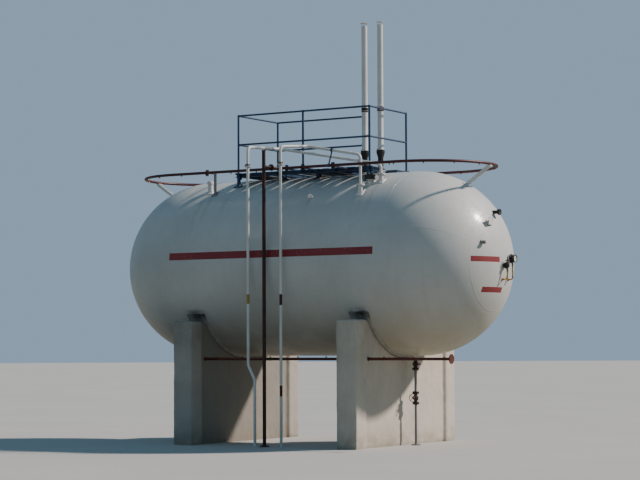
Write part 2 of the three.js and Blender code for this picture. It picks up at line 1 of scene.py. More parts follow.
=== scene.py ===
"""Looks of the horizontal gas storage tank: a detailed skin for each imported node, weathered paints
made of nodes, a plain pale floor, soft light and the camera.

All lengths are metres, but the profiles given to mm() are millimetres. Shapes are drawn in the
tank's own frame, whose middle lies at MID_X."""

import math

import bmesh
import bpy
from mathutils import Matrix, Vector, noise


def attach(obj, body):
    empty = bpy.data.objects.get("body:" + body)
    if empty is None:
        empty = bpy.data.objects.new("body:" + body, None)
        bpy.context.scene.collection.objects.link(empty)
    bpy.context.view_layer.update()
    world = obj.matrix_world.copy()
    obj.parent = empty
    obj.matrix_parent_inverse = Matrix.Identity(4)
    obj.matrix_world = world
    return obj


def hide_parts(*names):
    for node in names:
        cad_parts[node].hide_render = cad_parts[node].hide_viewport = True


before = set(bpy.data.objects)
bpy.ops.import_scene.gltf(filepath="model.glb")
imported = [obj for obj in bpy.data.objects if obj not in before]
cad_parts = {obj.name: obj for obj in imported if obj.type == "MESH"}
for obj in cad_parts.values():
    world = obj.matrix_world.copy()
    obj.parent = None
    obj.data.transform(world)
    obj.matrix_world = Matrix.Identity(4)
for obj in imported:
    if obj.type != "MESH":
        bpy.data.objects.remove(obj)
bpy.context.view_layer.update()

# Vessel
MID_X = -0.055
AXIS_Z = 3.05
RADIUS = 1.55
WALL = 0.016
HALF_STRAIGHT = 2.09
SHELL_SIDES = 192
HEAD_RINGS = 48
COURSE_X = 0.70
CROWN, BELLY = AXIS_Z + RADIUS, AXIS_Z - RADIUS

# Piers and saddles
PIER_X = 1.62
PIER_HALF = 1.725
PIER_TOP = 2.10
COLUMN_WIDTH = 0.34
COLUMN_HALF_DEPTH = 0.19
WEB_HALF_DEPTH = 0.145
SEAT_RADIUS = 1.5806
PAD_RADIUS = 1.58
PAD_HALF_DEPTH = 0.175
PAD_END_Z = 2.215
PLASTER_VOXEL = 0.026

# Platform and rails
DECK_LEFT, DECK_RIGHT = -1.225, 1.5
DECK_SIDE = 0.68
DECK_TOP = 4.68
DECK_PLATE = 0.006
PLANK_GAPS_X = (-0.93, -0.63, -0.33, -0.05, 0.235, 0.52, 0.70, 0.97, 1.22)
PLANK_GAP = 0.060
LOZENGE_PITCH = 0.033
BEAM_WIDTH, BEAM_HEIGHT = 0.05, 0.062
BEARERS_X = (-1.2, -0.4, 0.3, 0.78)
CORNER_LEGS_X = (-1.165, 1.44)
INNER_LEG_Y = 0.40
ARMS_X = (0.13, 0.45, 1.04)
ARM_BOTTOM = 4.648
MIDDLE_POST_X = 0.145
WALKWAY_LEFT_X = 0.595
NOTCH_LEFT, NOTCH_SIDE = 0.82, 0.23
RAIL_LINE = DECK_SIDE - 0.042
RAIL_LEFT, RAIL_RIGHT = DECK_LEFT + 0.042, DECK_RIGHT - 0.042
RAIL_TOP = 5.712
RAIL_HEIGHTS = (5.693, 5.185)
POST_RADIUS, RAIL_RADIUS = 0.018, 0.016

# Spray system
RING_HALF_LENGTH, RING_HALF_WIDTH = 3.38, 1.175
RING_STRAIGHT = RING_HALF_LENGTH - RING_HALF_WIDTH
RING_Z = 4.672
RING_RADIUS = 0.024
RING_PLATE_Y = RING_HALF_WIDTH - RING_RADIUS - 0.010
RING_POST_X, RING_POST_Y, RING_POST_TOP = -1.50, 0.896, 4.712
RISER = Vector((-0.02, -1.62, 0))
RISER_RADIUS = 0.03
RISER_TOP = 4.945
LOWER_Y, LOWER_Z = -1.25, 1.455
LOWER_LEFT, LOWER_RIGHT = -1.9, 3.3
PIPE_RADIUS = 0.024

# Process lines
LINE_Y = -1.62
LINE_FLANGE = 0.054
LINE_JOINT = 4.70
NOZZLE_FLANGE, NOZZLE_RADIUS = 0.07, 0.040
NOZZLE_RISE, SPARE_RISE = 0.12, 0.06
VAPOUR_NOZZLE = (1.74, -0.75)
LIQUID_NOZZLE = (1.5, -1.02)
SPARE_NOZZLE = (1.56, -0.80)
VAPOUR_ROUTE = {"x": -0.34, "top": 5.015, "corner": (-0.24, 5.05), "end_top": 4.69, "jog": 0.13}
LIQUID_ROUTE = {"x": 0.31, "top": 4.99, "corner": (0.477, 5.035), "end_top": 4.84, "jog": 0.0}
JOG_TOP, JOG_BOTTOM = 1.357, 1.108

# Relief valves, vents and drain
RELIEF_SEAT = CROWN + 0.06
VENT_BASE, VENT_JOINT, VENT_TOP = 5.01, 5.68, 7.228
DRAIN_X = 1.96
DRAIN_FLANGE, DRAIN_BOLTS = 0.058, 0.046
DRAIN_PIPE, DRAIN_NECK = 0.022, 0.028
DRAIN_WAIST, DRAIN_BELLY = 0.030, 0.046
DRAIN_LOWER_TOP = 0.88

FLANGE = 0.016
GROUND_FLANGE = 0.080
GAP = 0.0003
SHARP_ANGLE = math.radians(32)
TINY = 1e-6
SIDES = (-1, 1)
UP = Vector((0, 0, 1))
DOWN = -UP
ALONG = Vector((1, 0, 0))
NEAR = Vector((0, -1, 0))


def mm(*values, up=0.0):
    """Profile rows of (radius, height) from a flat row of millimetres, lifted by metres."""
    return [(r / 1000, up + h / 1000) for r, h in zip(values[::2], values[1::2])]


def circle(count, start=0.5):
    """The cosine and sine of equal steps round a circle."""
    angles = [math.tau * (k + start) / count for k in range(count)]
    return [(math.cos(angle), math.sin(angle)) for angle in angles]


def square_axes(axis):
    """Two unit vectors square to an axis and to each other."""
    side = UP if abs(axis.z) < 0.9 else ALONG
    first = side.cross(axis).normalized()
    return first, axis.cross(first)


def bent(corners, bend, steps=8):
    """A route whose inner corners are replaced by elbows of the bend radius."""
    corners = [Vector(corner) for corner in corners]
    route = [corners[0]]
    for before, corner, after in zip(corners, corners[1:], corners[2:]):
        back = (before - corner).normalized()
        ahead = (after - corner).normalized()
        half = back.angle(ahead) / 2
        centre = corner + (back + ahead).normalized() * (bend / math.sin(half))
        first = corner + back * (bend / math.tan(half)) - centre
        axis = ahead.cross(back).normalized()
        for k in range(steps + 1):
            turn = Matrix.Rotation(k / steps * (math.pi - 2 * half), 3, axis)
            route.append(turn @ first + centre)
    return route + [corners[-1]]


def with_stops(route, heights):
    """The route with more points where it passes the given heights."""
    stops = [route[0]]
    for start, end in zip(route, route[1:]):
        inside = [z for z in heights if min(start.z, end.z) < z < max(start.z, end.z)]
        inside.sort(reverse=start.z > end.z)
        stops += [start.lerp(end, (z - start.z) / (end.z - start.z)) for z in inside]
        stops.append(end)
    return stops


def on_shell(angle, out=0.0):
    """Y and Z of a place on the barrel, at an angle from the crown towards the far side."""
    reach = RADIUS + out
    return reach * math.sin(angle), AXIS_Z + reach * math.cos(angle)


def shell_height(y):
    return AXIS_Z + math.sqrt(RADIUS ** 2 - y ** 2)


def head_x(y, rise):
    """The X of the right head's surface at Y and at a height over the axis."""
    return HALF_STRAIGHT + math.sqrt(RADIUS ** 2 - y ** 2 - rise ** 2)


class Form:
    """Points, faces and the paint number of each face, in the tank's own frame."""

    def __init__(self):
        self.points = []
        self.faces = []
        self.paints = []

    def add(self, points, faces, paint=0):
        self.join(faces, [paint] * len(faces))
        self.points += [Vector(point) for point in points]

    def join(self, faces, paints):
        """Adds faces whose corners count from the first point that comes next."""
        for face, paint in zip(faces, paints):
            corners = list(dict.fromkeys(len(self.points) + i for i in face))
            if len(corners) > 2:
                self.faces.append(corners)
                self.paints.append(paint)

    def strips(self, rows, points, paint=0, loop=False, paint_at=None):
        """Faces between neighbouring rows of points, with both ends closed unless the rows loop."""
        faces = []
        paints = []
        pairs = list(zip(rows, rows[1:])) + ([(rows[-1], rows[0])] if loop else [])
        for low, high in pairs:
            for i in range(len(low)):
                j = (i + 1) % len(low)
                faces.append((low[i], low[j], high[j], high[i]))
                middle = (points[low[i]] + points[high[j]]) / 2
                paints.append(paint_at(middle) if paint_at else paint)
        if not loop:
            faces += [rows[0][::-1], rows[-1]]
            paints += [paints[0], paints[-1]]
        self.join(faces, paints)
        self.points += points

    def turned(self, base, axis, profile, sides=24, paint=0, loop=False, start=0.0):
        """A body turned about an axis. Profile rows are (radius, height over the base)."""
        base = Vector(base)
        first, second = square_axes(axis)
        rows, points = [], []
        for radius, height in profile:
            centre = base + axis * height
            if radius < TINY:
                rows.append([len(points)] * sides)
                points.append(centre)
                continue
            rows.append([len(points) + i for i in range(sides)])
            for i in range(sides):
                angle = start + math.tau * i / sides
                spoke = first * math.cos(angle) + second * math.sin(angle)
                points.append(centre + spoke * radius)
        self.strips(rows, points, paint, loop)

    def swept(self, path, radius=1.0, sides=12, paint=0, loop=False, outline=None, up=None,
              paint_at=None):
        """A round bar along a path, or a bar of the given (across, up) outline."""
        path = [Vector(point) for point in path]
        outline = outline or circle(sides)
        count = len(path)
        last = count if loop else count - 1
        runs = [(path[(i + 1) % count] - path[i]).normalized() for i in range(last)]
        rows, points = [], []
        normal = None
        for i in range(count):
            before = runs[i - 1] if loop or i > 0 else runs[0]
            after = runs[i] if i < len(runs) else runs[-1]
            along = (before + after).normalized()
            if normal is None:
                normal = Vector(up) if up else square_axes(along)[1]
            normal = (normal - along * normal.dot(along)).normalized()
            side = normal.cross(along)
            rows.append([len(points) + k for k in range(len(outline))])
            for across, rise in outline:
                points.append(path[i] + (side * across + normal * rise) * radius)
        self.strips(rows, points, paint, loop, paint_at)

    def hull(self, points, paint=0):
        shape = bmesh.new()
        for point in points:
            shape.verts.new(point)
        bmesh.ops.convex_hull(shape, input=shape.verts)
        shape.verts.index_update()
        faces = [[v.index for v in face.verts] for face in shape.faces]
        self.add([v.co.copy() for v in shape.verts], faces, paint)
        shape.free()

    def box(self, one, other, edge, paint=0):
        """A block between two opposite corners, with its edges taken off by the given width."""
        spans = [sorted(pair) for pair in zip(one, other)]
        points = []
        for corner in range(8):
            for flat in range(3):
                point = []
                for axis, (low, high) in enumerate(spans):
                    inset = 0 if axis == flat else edge
                    point.append(high - inset if (corner >> axis) & 1 else low + inset)
                points.append(point)
        self.hull(points, paint)

    def rod(self, start, end, radius, sides=12, paint=0):
        self.swept([start, end], radius, sides, paint)

    def weld(self, centre, axis, radius, size=0.005):
        """A weld bead round a pipe."""
        bead = [(radius - 0.002, -size), (radius + size * 0.5, 0), (radius - 0.002, size)]
        self.turned(centre, axis, bead, 20, loop=True)

    def nut(self, place, axis, size, paint=1):
        """A hexagon of the given half width, with its outer edge taken off."""
        rows = [(0, 0), (size, 0), (size, size * 0.75), (size * 0.84, size * 0.95), (0, size * 0.95)]
        self.turned(place, axis, rows, 6, paint, start=0.3)

    def bolts(self, centre, axis, spread, count, size, tail=0.0, start=0.5):
        """A ring of nuts, with the ends of their bolts if the tail has a length."""
        first, second = square_axes(axis)
        for cos, sin in circle(count, start):
            place = Vector(centre) + (first * cos + second * sin) * spread
            self.nut(place, axis, size)
            if tail:
                self.rod(place, place + axis * tail, size * 0.5, 8, 1)

    def studs(self, centre, axis, spread, count, size, low=-FLANGE, high=FLANGE):
        """Studs through a flanged joint, with a nut at both ends. Low and high are the outer faces."""
        first, second = square_axes(axis)
        for cos, sin in circle(count):
            place = Vector(centre) + (first * cos + second * sin) * spread
            reach = size * 1.5
            self.rod(place + axis * (low - reach), place + axis * (high + reach), size * 0.5, 8, 1)
            self.nut(place + axis * high, axis, size)
            self.nut(place + axis * low, -axis, size)

    def flange(self, face, axis, radius, thickness, neck, hub=0.0, paint=0, sides=40):
        """A pipe flange from its joint face, with the hub on the side that the axis points to."""
        edge = 0.002
        rows = [(0, 0), (radius - edge, 0), (radius, edge), (radius, thickness - edge),
                (radius - edge, thickness)]
        if hub:
            rows += [(neck * 1.35, thickness), (neck * 1.06, thickness + hub)]
        rows.append((0, rows[-1][1]))
        self.turned(face, axis, rows, sides, paint)

    def shell_pad(self, x, half_x, y, half_y, thickness):
        """A piece of curved plate on the upper side of the barrel, with sloping welded edges."""
        bead, steps = 0.006, 8
        x0, x1 = x - half_x, x + half_x
        first, last = math.asin((y - half_y) / RADIUS), math.asin((y + half_y) / RADIUS)
        inner = [(first + (last - first) * k / steps, thickness) for k in range(steps + 1)]
        rows, points = [], []
        for angle, lift in [(first - bead / RADIUS, -0.001), *inner, (last + bead / RADIUS, -0.001)]:
            rows.append([len(points) + i for i in range(4)])
            for along, out in ((x0 - bead, -0.003), (x0, lift), (x1, lift), (x1 + bead, -0.003)):
                points.append(Vector((along, *on_shell(angle, out))))
        self.strips(rows, points)


def raw_mesh(name, form):
    """The form as a mesh, moved from the tank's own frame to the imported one."""
    mesh = bpy.data.meshes.new(name)
    shift = Vector((MID_X, 0, 0))
    mesh.from_pydata([point + shift for point in form.points], [], form.faces)
    return mesh


def make(node, form, *paints):
    """Turns a form into the piece that stands for a CAD node."""
    mesh = raw_mesh(node + "_detail", form)
    for paint in paints:
        mesh.materials.append(paint)
    mesh.polygons.foreach_set("material_index", form.paints)
    finish_mesh(mesh)
    place_piece(node, mesh)


def finish_mesh(mesh, sharp=SHARP_ANGLE):
    shape = bmesh.new()
    shape.from_mesh(mesh)
    bmesh.ops.recalc_face_normals(shape, faces=shape.faces)
    for face in shape.faces:
        face.smooth = True
    for edge in shape.edges:
        edge.smooth = len(edge.link_faces) == 2 and edge.calc_face_angle(0) < sharp
    shape.to_mesh(mesh)
    shape.free()


def add_object(name, data):
    """An object for a mesh, lamp or camera, in the scene."""
    made = bpy.data.objects.new(name, data)
    bpy.context.scene.collection.objects.link(made)
    return made


def place_piece(node, mesh):
    piece = add_object(node + "_detail", mesh)
    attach(piece, "root")
    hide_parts(node)


# Materials


class Finish:
    """One material, built node by node. Values are numbers, colours or other nodes' sockets."""

    def __init__(self, name):
        self.material = bpy.data.materials.new(name)
        self.material.use_nodes = True
        self.tree = self.material.node_tree
        self.shader = self.tree.nodes["Principled BSDF"]
        self.place = self.tree.nodes.new("ShaderNodeTexCoord").outputs["Object"]
        split = self.node("ShaderNodeSeparateXYZ", [self.place])
        self.x, self.y, self.z = split.outputs
        self.shade = None

    def node(self, kind, values=(), **settings):
        made = self.tree.nodes.new(kind)
        for name, setting in settings.items():
            setattr(made, name, setting)
        for socket, value in zip(made.inputs, values):
            self.feed(socket, value)
        return made

    def feed(self, socket, value):
        if isinstance(value, bpy.types.NodeSocket):
            self.tree.links.new(value, socket)
        elif value is not None:
            socket.default_value = value

    def noise(self, scale, detail=4.0, stretch=(1, 1, 1), rough=0.55):
        stretched = self.node("ShaderNodeVectorMath", [self.place, stretch], operation="MULTIPLY")
        cloud = self.node("ShaderNodeTexNoise")
        self.feed(cloud.inputs["Vector"], stretched.outputs[0])
        cloud.inputs["Scale"].default_value = scale
        cloud.inputs["Detail"].default_value = detail
        cloud.inputs["Roughness"].default_value = rough
        return cloud.outputs[0]

    def step(self, value, low, high, start=0.0, end=1.0):
        """Goes smoothly from start to end as the value goes from low to high."""
        values = [value, low, high, start, end]
        return self.node("ShaderNodeMapRange", values, interpolation_type="SMOOTHSTEP").outputs[0]

    def cloud(self, scale, detail, low, high, start=0.0, end=1.0, **settings):
        """A noise whose middle values are spread from start to end."""
        return self.step(self.noise(scale, detail, **settings), low, high, start, end)

    def streaks(self, stretch, detail, low, high, start=0.0, end=1.0):
        """A cloud stretched along the axes with the lower numbers."""
        return self.cloud(1.0, detail, low, high, start, end, stretch=stretch)

    def maths(self, operation, *values):
        """The values taken together two by two."""
        whole = values[0]
        for value in values[1:]:
            whole = self.node("ShaderNodeMath", [whole, value], operation=operation).outputs[0]
        return whole

    def product(self, *values):
        return self.maths("MULTIPLY", *values)

    def largest(self, *values):
        return self.maths("MAXIMUM", *values)

    def ragged(self, height, *noise, **settings):
        """A small offset either way, for an edge that isn't straight."""
        return self.product(self.maths("SUBTRACT", self.noise(*noise, **settings), 0.5), height)

    def band(self, value, low, high, soft):
        """One between low and high, and zero outside."""
        rising = self.step(value, low - soft, low + soft)
        return self.product(rising, self.step(value, high - soft, high + soft, 1.0, 0.0))

    def near_piers(self, before, after, soft):
        """One along the two piers, from before to after their middles."""
        xs = (MID_X - PIER_X, MID_X + PIER_X)
        return self.largest(*[self.band(self.x, x + before, x + after, soft) for x in xs])

    def blend(self, factor, first, second):
        mixed = self.node("ShaderNodeMix", data_type="RGBA")
        self.feed(mixed.inputs[0], factor)
        self.feed(mixed.inputs[6], first)
        self.feed(mixed.inputs[7], second)
        return mixed.outputs[2]

    def over(self, colour, *masks):
        """Lays a colour over the shade so far, as much as the product of the masks says."""
        self.shade = self.blend(self.product(*masks), self.shade, colour)

    def upward(self):
        """One on faces that look up, zero on walls and undersides."""
        normal = self.node("ShaderNodeNewGeometry").outputs["Normal"]
        height = self.node("ShaderNodeSeparateXYZ", [normal]).outputs[2]
        return self.step(height, 0.35, 0.98)

    def bump(self, height, distance, strength=1.0, under=None):
        bumped = self.node("ShaderNodeBump")
        bumped.inputs["Strength"].default_value = strength
        bumped.inputs["Distance"].default_value = distance
        self.feed(bumped.inputs["Height"], height)
        self.feed(bumped.inputs["Normal"], under)
        return bumped.outputs[0]

    def done(self, rough, normal=None, metal=0.0):
        self.feed(self.shader.inputs["Base Color"], self.shade)
        self.feed(self.shader.inputs["Roughness"], rough)
        self.feed(self.shader.inputs["Metallic"], metal)
        self.feed(self.shader.inputs["Normal"], normal)
        return self.material


def rgb(red, green, blue):
    return (red, green, blue, 1.0)


RUST = rgb(0.130, 0.042, 0.014)
RUST_LIGHT = rgb(0.260, 0.105, 0.040)
DUST = rgb(0.340, 0.290, 0.215)


def weathered_paint(name, colour, faded, chips=0.62, rough=0.42, dust=0.45, streak=0.25):
    """Oil paint on steel: faded patches, run marks, dust on top, and chips down to rust."""
    f = Finish(name)
    f.shade = f.blend(f.cloud(2.3, 5, 0.35, 0.70), colour, faded)
    f.over(rgb(0.10, 0.075, 0.05), f.streaks((34, 34, 1.6), 5, 0.52, 0.80), streak)
    chip_noise = f.maths("ADD", f.noise(70.0, 8, rough=0.7), f.product(f.noise(4.0, 3), 0.32))
    chipped = f.step(chip_noise, chips + 0.16, chips + 0.19)
    f.over(RUST_LIGHT, f.step(chip_noise, chips + 0.08, chips + 0.19), 0.55)
    f.over(RUST, chipped)
    dusty = f.product(f.upward(), f.cloud(9.0, 6, 0.30, 0.75), dust)
    f.over(DUST, dusty)
    gloss = f.cloud(46.0, 6, 0.3, 0.7, rough - 0.07, rough + 0.12)
    gloss = f.largest(gloss, f.product(chipped, 0.92), f.product(dusty, 0.9))
    peel = f.bump(f.noise(210.0, 3), 0.0006, 0.35)
    return f.done(gloss, f.bump(f.maths("SUBTRACT", 1.0, chipped), 0.0006, 0.8, peel))


# Where rust runs down the shell from fittings: x, top, length, half width and side.
RUN_SOURCES = (
    (-1.165, 4.49, 0.9, 0.10, -1), (1.44, 4.49, 0.8, 0.10, -1), (-1.165, 4.49, 1.0, 0.10, 1),
    (1.44, 4.49, 1.1, 0.10, 1), (0.145, 4.49, 0.7, 0.06, -1), (-1.50, 4.31, 0.9, 0.06, -1),
    (-1.50, 4.31, 0.7, 0.06, 1), (0.565, 4.15, 0.5, 0.05, -1), (0.565, 4.15, 0.6, 0.05, 1),
    (1.74, 4.40, 0.9, 0.08, -1), (1.59, 4.38, 0.7, 0.06, -1), (-1.66, 4.35, 1.1, 0.07, -1),
)


def run_marks(f):
    x = f.maths("ADD", f.x, f.ragged(0.05, 3.0, 3))
    marks = []
    for source_x, top, length, half, side in RUN_SOURCES:
        distance = f.maths("ABSOLUTE", f.maths("SUBTRACT", x, source_x + MID_X), 0.0)
        across = f.step(distance, half * 0.15, half, 1.0, 0.0)
        down = f.product(f.step(f.z, top - length, top), f.step(f.z, top, top + 0.02, 1.0, 0.0))
        marks.append(f.product(across, down, f.step(f.product(f.y, side), -0.02, 0.02)))
    return f.product(f.largest(*marks), f.streaks((60, 5, 5), 5, 0.38, 0.62))


STRIPE_HALF = 0.062
STRIPE_Z = 3.215
STRIPE_END = 2.02


def stripe_mask(f):
    """The plain red stripes: one on each flank and two short ones on the right head."""
    ragged = f.ragged(0.004, 90.0, 4)
    x, y, z = [f.maths("ADD", value, ragged) for value in (f.x, f.y, f.z)]
    edge = 0.0012
    along = f.band(x, MID_X - STRIPE_END, MID_X + STRIPE_END, edge)
    flank = f.product(along, f.band(z, STRIPE_Z - STRIPE_HALF, STRIPE_Z + STRIPE_HALF, edge))
    head_start = MID_X + HALF_STRAIGHT + 0.6
    upper = f.product(f.band(y, -0.80, -0.17, edge), f.band(z, 3.025, 3.115, edge))
    lower = f.product(f.band(y, -0.52, 0.02, edge), f.band(z, 2.53, 2.62, edge))
    on_head = f.product(f.step(f.x, head_start, head_start + 0.02), f.largest(upper, lower))
    return f.largest(flank, on_head)


def vessel_paint():
    """White tank paint: faint chalky clouds and rain streaks, a belly darkened by grime and painted
    shade, painted shade on the shell by the saddle pad ends, and rust under the deck.
    """
    f = Finish("tank_white_weathered_and_shaded")
    chalk = f.cloud(0.8, 5, 0.35, 0.68)
    f.shade = f.blend(chalk, rgb(0.600, 0.612, 0.600), rgb(0.535, 0.545, 0.530))
    f.over(rgb(0.42, 0.41, 0.37), f.cloud(6.0, 7, 0.42, 0.76, rough=0.62), 0.16)
    lower_down = f.step(f.z, 4.4, 1.9, 0.15, 1.0)
    f.over(rgb(0.36, 0.34, 0.29), f.streaks((9, 0.9, 0.6), 6, 0.48, 0.80), lower_down, 0.20)
    f.over(rgb(0.30, 0.27, 0.215), f.streaks((46, 2.0, 1.0), 4, 0.58, 0.82), 0.12)
    # Grime and painted shade under the barrel: darkest on the left as painted shade, lighter and warmer
    # towards the right as dust and painted bounce light.
    belly = f.product(f.step(f.z, 2.60, 1.52), f.cloud(2.6, 6, 0.15, 0.62, 0.35, 1.0))
    belly_grime_and_shade = f.blend(f.step(f.x, -1.6, 2.4), rgb(0.215, 0.190, 0.150), rgb(0.460, 0.400, 0.270))
    f.over(belly_grime_and_shade, belly, 0.66)
    f.over(rgb(0.330, 0.260, 0.165), crown_stain(f), 0.12)
    # Painted shade: a dark patch on the shell just above each saddle pad's ends, where it meets the pier
    # top.
    pad_end_shade = f.band(f.z, PAD_END_Z - 0.03, PAD_END_Z + 0.075, 0.055)
    pad_end_shade = f.product(f.near_piers(-0.15, 0.15, 0.13), pad_end_shade)
    f.over(rgb(0.085, 0.072, 0.058), pad_end_shade, f.streaks((7, 13, 16), 6, 0.30, 0.62), 0.75)
    red = f.blend(chalk, rgb(0.235, 0.012, 0.016), rgb(0.285, 0.028, 0.028))
    f.over(red, stripe_mask(f), f.cloud(34.0, 7, 0.80, 0.64))
    f.over(rgb(0.235, 0.130, 0.065), run_marks(f), 0.30)
    spot_noise = f.maths("ADD", f.noise(26.0, 8, rough=0.72), f.product(f.noise(1.7, 3), 0.30))
    spots = f.step(spot_noise, 0.875, 0.900)
    f.over(RUST_LIGHT, f.step(spot_noise, 0.82, 0.900), 0.35)
    f.over(RUST, spots)
    gloss = f.cloud(12.0, 5, 0.3, 0.7, 0.50, 0.62)
    gloss = f.largest(gloss, f.product(spots, 0.9), f.product(belly, 0.72))
    f.feed(f.shader.inputs["Coat Weight"], 0.35)
    f.feed(f.shader.inputs["Coat Roughness"], 0.20)
    plates = f.bump(f.noise(0.9, 2), 0.010, 0.30)
    return f.done(gloss, f.bump(f.noise(160.0, 3), 0.0005, 0.22, plates))


def crown_stain(f):
    """Rusty dirt that has washed off the deck and down the crown, with a ragged lower edge."""
    along = f.band(f.x, MID_X - 1.25, MID_X + 1.40, 0.30)
    height = f.maths("ADD", f.z, f.ragged(0.55, 1.0, 5, (11, 1.5, 1.5)))
    return f.product(along, f.step(height, 4.10, 4.50), f.cloud(8.0, 6, 0.20, 0.62, 0.35, 1.0))


def limewash():
    """Lime over cement plaster: faint brush marks, small worn patches, water stains and a damp foot.
    The left pier, which is on the side of negative X, is darker as painted shade, and both piers have
    painted shade high up under the tank, the left one more and over its web too."""
    f = Finish("limewash_worn_and_shaded")
    cloudy = f.cloud(1.6, 7, 0.34, 0.70)
    right_pier_tone = f.blend(cloudy, rgb(0.630, 0.575, 0.500), rgb(0.545, 0.497, 0.430))
    # The left pier's darker tone is painted shade.
    dull = f.blend(cloudy, rgb(0.500, 0.463, 0.415), rgb(0.430, 0.397, 0.353))
    right = f.step(f.x, -0.1, 0.1)
    f.shade = f.blend(right, dull, right_pier_tone)
    brushed = f.noise(1.0, 6, (52, 52, 6))
    f.over(rgb(0.360, 0.340, 0.300), f.step(brushed, 0.40, 0.78, 0.0, 0.18))
    worn = f.maths("ADD", f.noise(6.5, 8, rough=0.66), f.product(f.noise(1.1, 2), 0.30))
    worn = f.step(worn, 0.81, 0.87)
    f.over(rgb(0.300, 0.284, 0.250), worn, 0.45)
    stains = f.product(f.streaks((11, 11, 0.5), 5, 0.50, 0.80), f.step(f.z, 0.3, 2.1, 0.15, 1.0))
    f.over(rgb(0.240, 0.212, 0.165), stains, 0.30)
    # Painted shade high up under the tank, stronger on the left pier.
    under_tank_shade = f.product(f.step(f.z, 1.25, 2.05), f.cloud(3.2, 5, 0.20, 0.62, 0.3, 1.0))
    f.over(rgb(0.200, 0.180, 0.150), under_tank_shade, f.step(right, 0.0, 1.0, 0.55, 0.25))
    web_side = PIER_HALF - COLUMN_WIDTH
    # Painted shade over the left pier's web.
    web = f.band(f.y, -web_side, web_side, 0.04)
    f.over(rgb(0.185, 0.175, 0.150), web, f.step(right, 0.0, 1.0, 0.55, 0.0))
    damp = f.product(f.step(f.z, 0.40, 0.0), f.cloud(4.6, 6, 0.22, 0.66))
    f.over(rgb(0.225, 0.185, 0.125), damp, 0.55)
    grit = f.bump(f.noise(130.0, 6), 0.0022, 0.50)
    trowel = f.bump(f.noise(9.0, 5), 0.010, 0.45, grit)
    hollows = f.bump(f.maths("SUBTRACT", 1.0, worn), 0.0020, 0.6, trowel)
    return f.done(f.step(brushed, 0.3, 0.7, 0.82, 0.96), hollows)


def saddle_steel():
    """The saddle pads have the tank's paint, greyer in patches, with spots of rust and near-black painted
    shade on their ends by the pier tops.
    """
    f = Finish("saddle_steel_dirty_and_shaded")
    cloudy = f.noise(8.0, 6)
    f.shade = f.blend(f.step(cloudy, 0.3, 0.7), rgb(0.47, 0.46, 0.43), rgb(0.36, 0.345, 0.305))
    fading = f.step(f.near_piers(-0.05, 0.2, 0.10), 0.0, 1.0, 0.55, 1.0)
    # Painted shade: the pad ends next to the pier tops are made nearly black.
    ends = f.product(f.step(f.z, 2.06, 2.19), f.cloud(14.0, 6, 0.10, 0.52), fading)
    f.over(rgb(0.028, 0.025, 0.022), ends, 0.95)
    f.over(RUST, f.cloud(24.0, 7, 0.60, 0.70, rough=0.68), 0.6)
    return f.done(f.step(cloudy, 0.3, 0.7, 0.6, 0.9), f.bump(f.noise(90.0, 5), 0.0015, 0.6))


def deck_steel():
    """Walked-on plate: dark blue paint left in the hollows, polished lozenges and rust."""
    f = Finish("deck_steel_worn")
    cloudy = f.noise(3.2, 6)
    f.shade = f.blend(f.step(cloudy, 0.35, 0.65), rgb(0.020, 0.042, 0.060), rgb(0.060, 0.052, 0.046))
    worn = f.product(f.step(f.z, DECK_TOP, DECK_TOP + 0.0011), f.cloud(6.0, 4, 0.30, 0.62))
    f.over(rgb(0.24, 0.23, 0.215), worn)
    rusty = f.cloud(18.0, 8, 0.53, 0.66, rough=0.7)
    f.over(RUST, rusty, 0.85)
    f.over(DUST, f.upward(), f.cloud(5.0, 6, 0.35, 0.8), 0.5)
    gloss = f.step(cloudy, 0.3, 0.7, 0.45, 0.75)
    metal = f.product(worn, f.step(rusty, 0.2, 0.6, 0.8, 0.0))
    return f.done(gloss, f.bump(f.noise(120.0, 5), 0.0008, 0.5), metal)


def bare_metal(name, colour, dull, rough, rusty):
    """Bare metal with dull patches and some rust or tarnish."""
    f = Finish(name)
    f.shade = f.blend(f.cloud(22.0, 6, 0.38, 0.66), colour, dull)
    tarnish = f.cloud(58.0, 7, rusty, rusty + 0.08, rough=0.68)
    f.over(RUST, tarnish, 0.85)
    metal = f.step(tarnish, 0.0, 1.0, 0.9, 0.1)
    gloss = f.cloud(90.0, 5, 0.3, 0.7, rough - 0.08, rough + 0.18)
    gloss = f.largest(gloss, f.product(tarnish, 0.9))
    return f.done(gloss, f.bump(f.noise(180.0, 4), 0.0004, 0.4), metal)


WHITE_SHELL = vessel_paint()
LIMEWASH = limewash()
SADDLE = saddle_steel()
DECK = deck_steel()
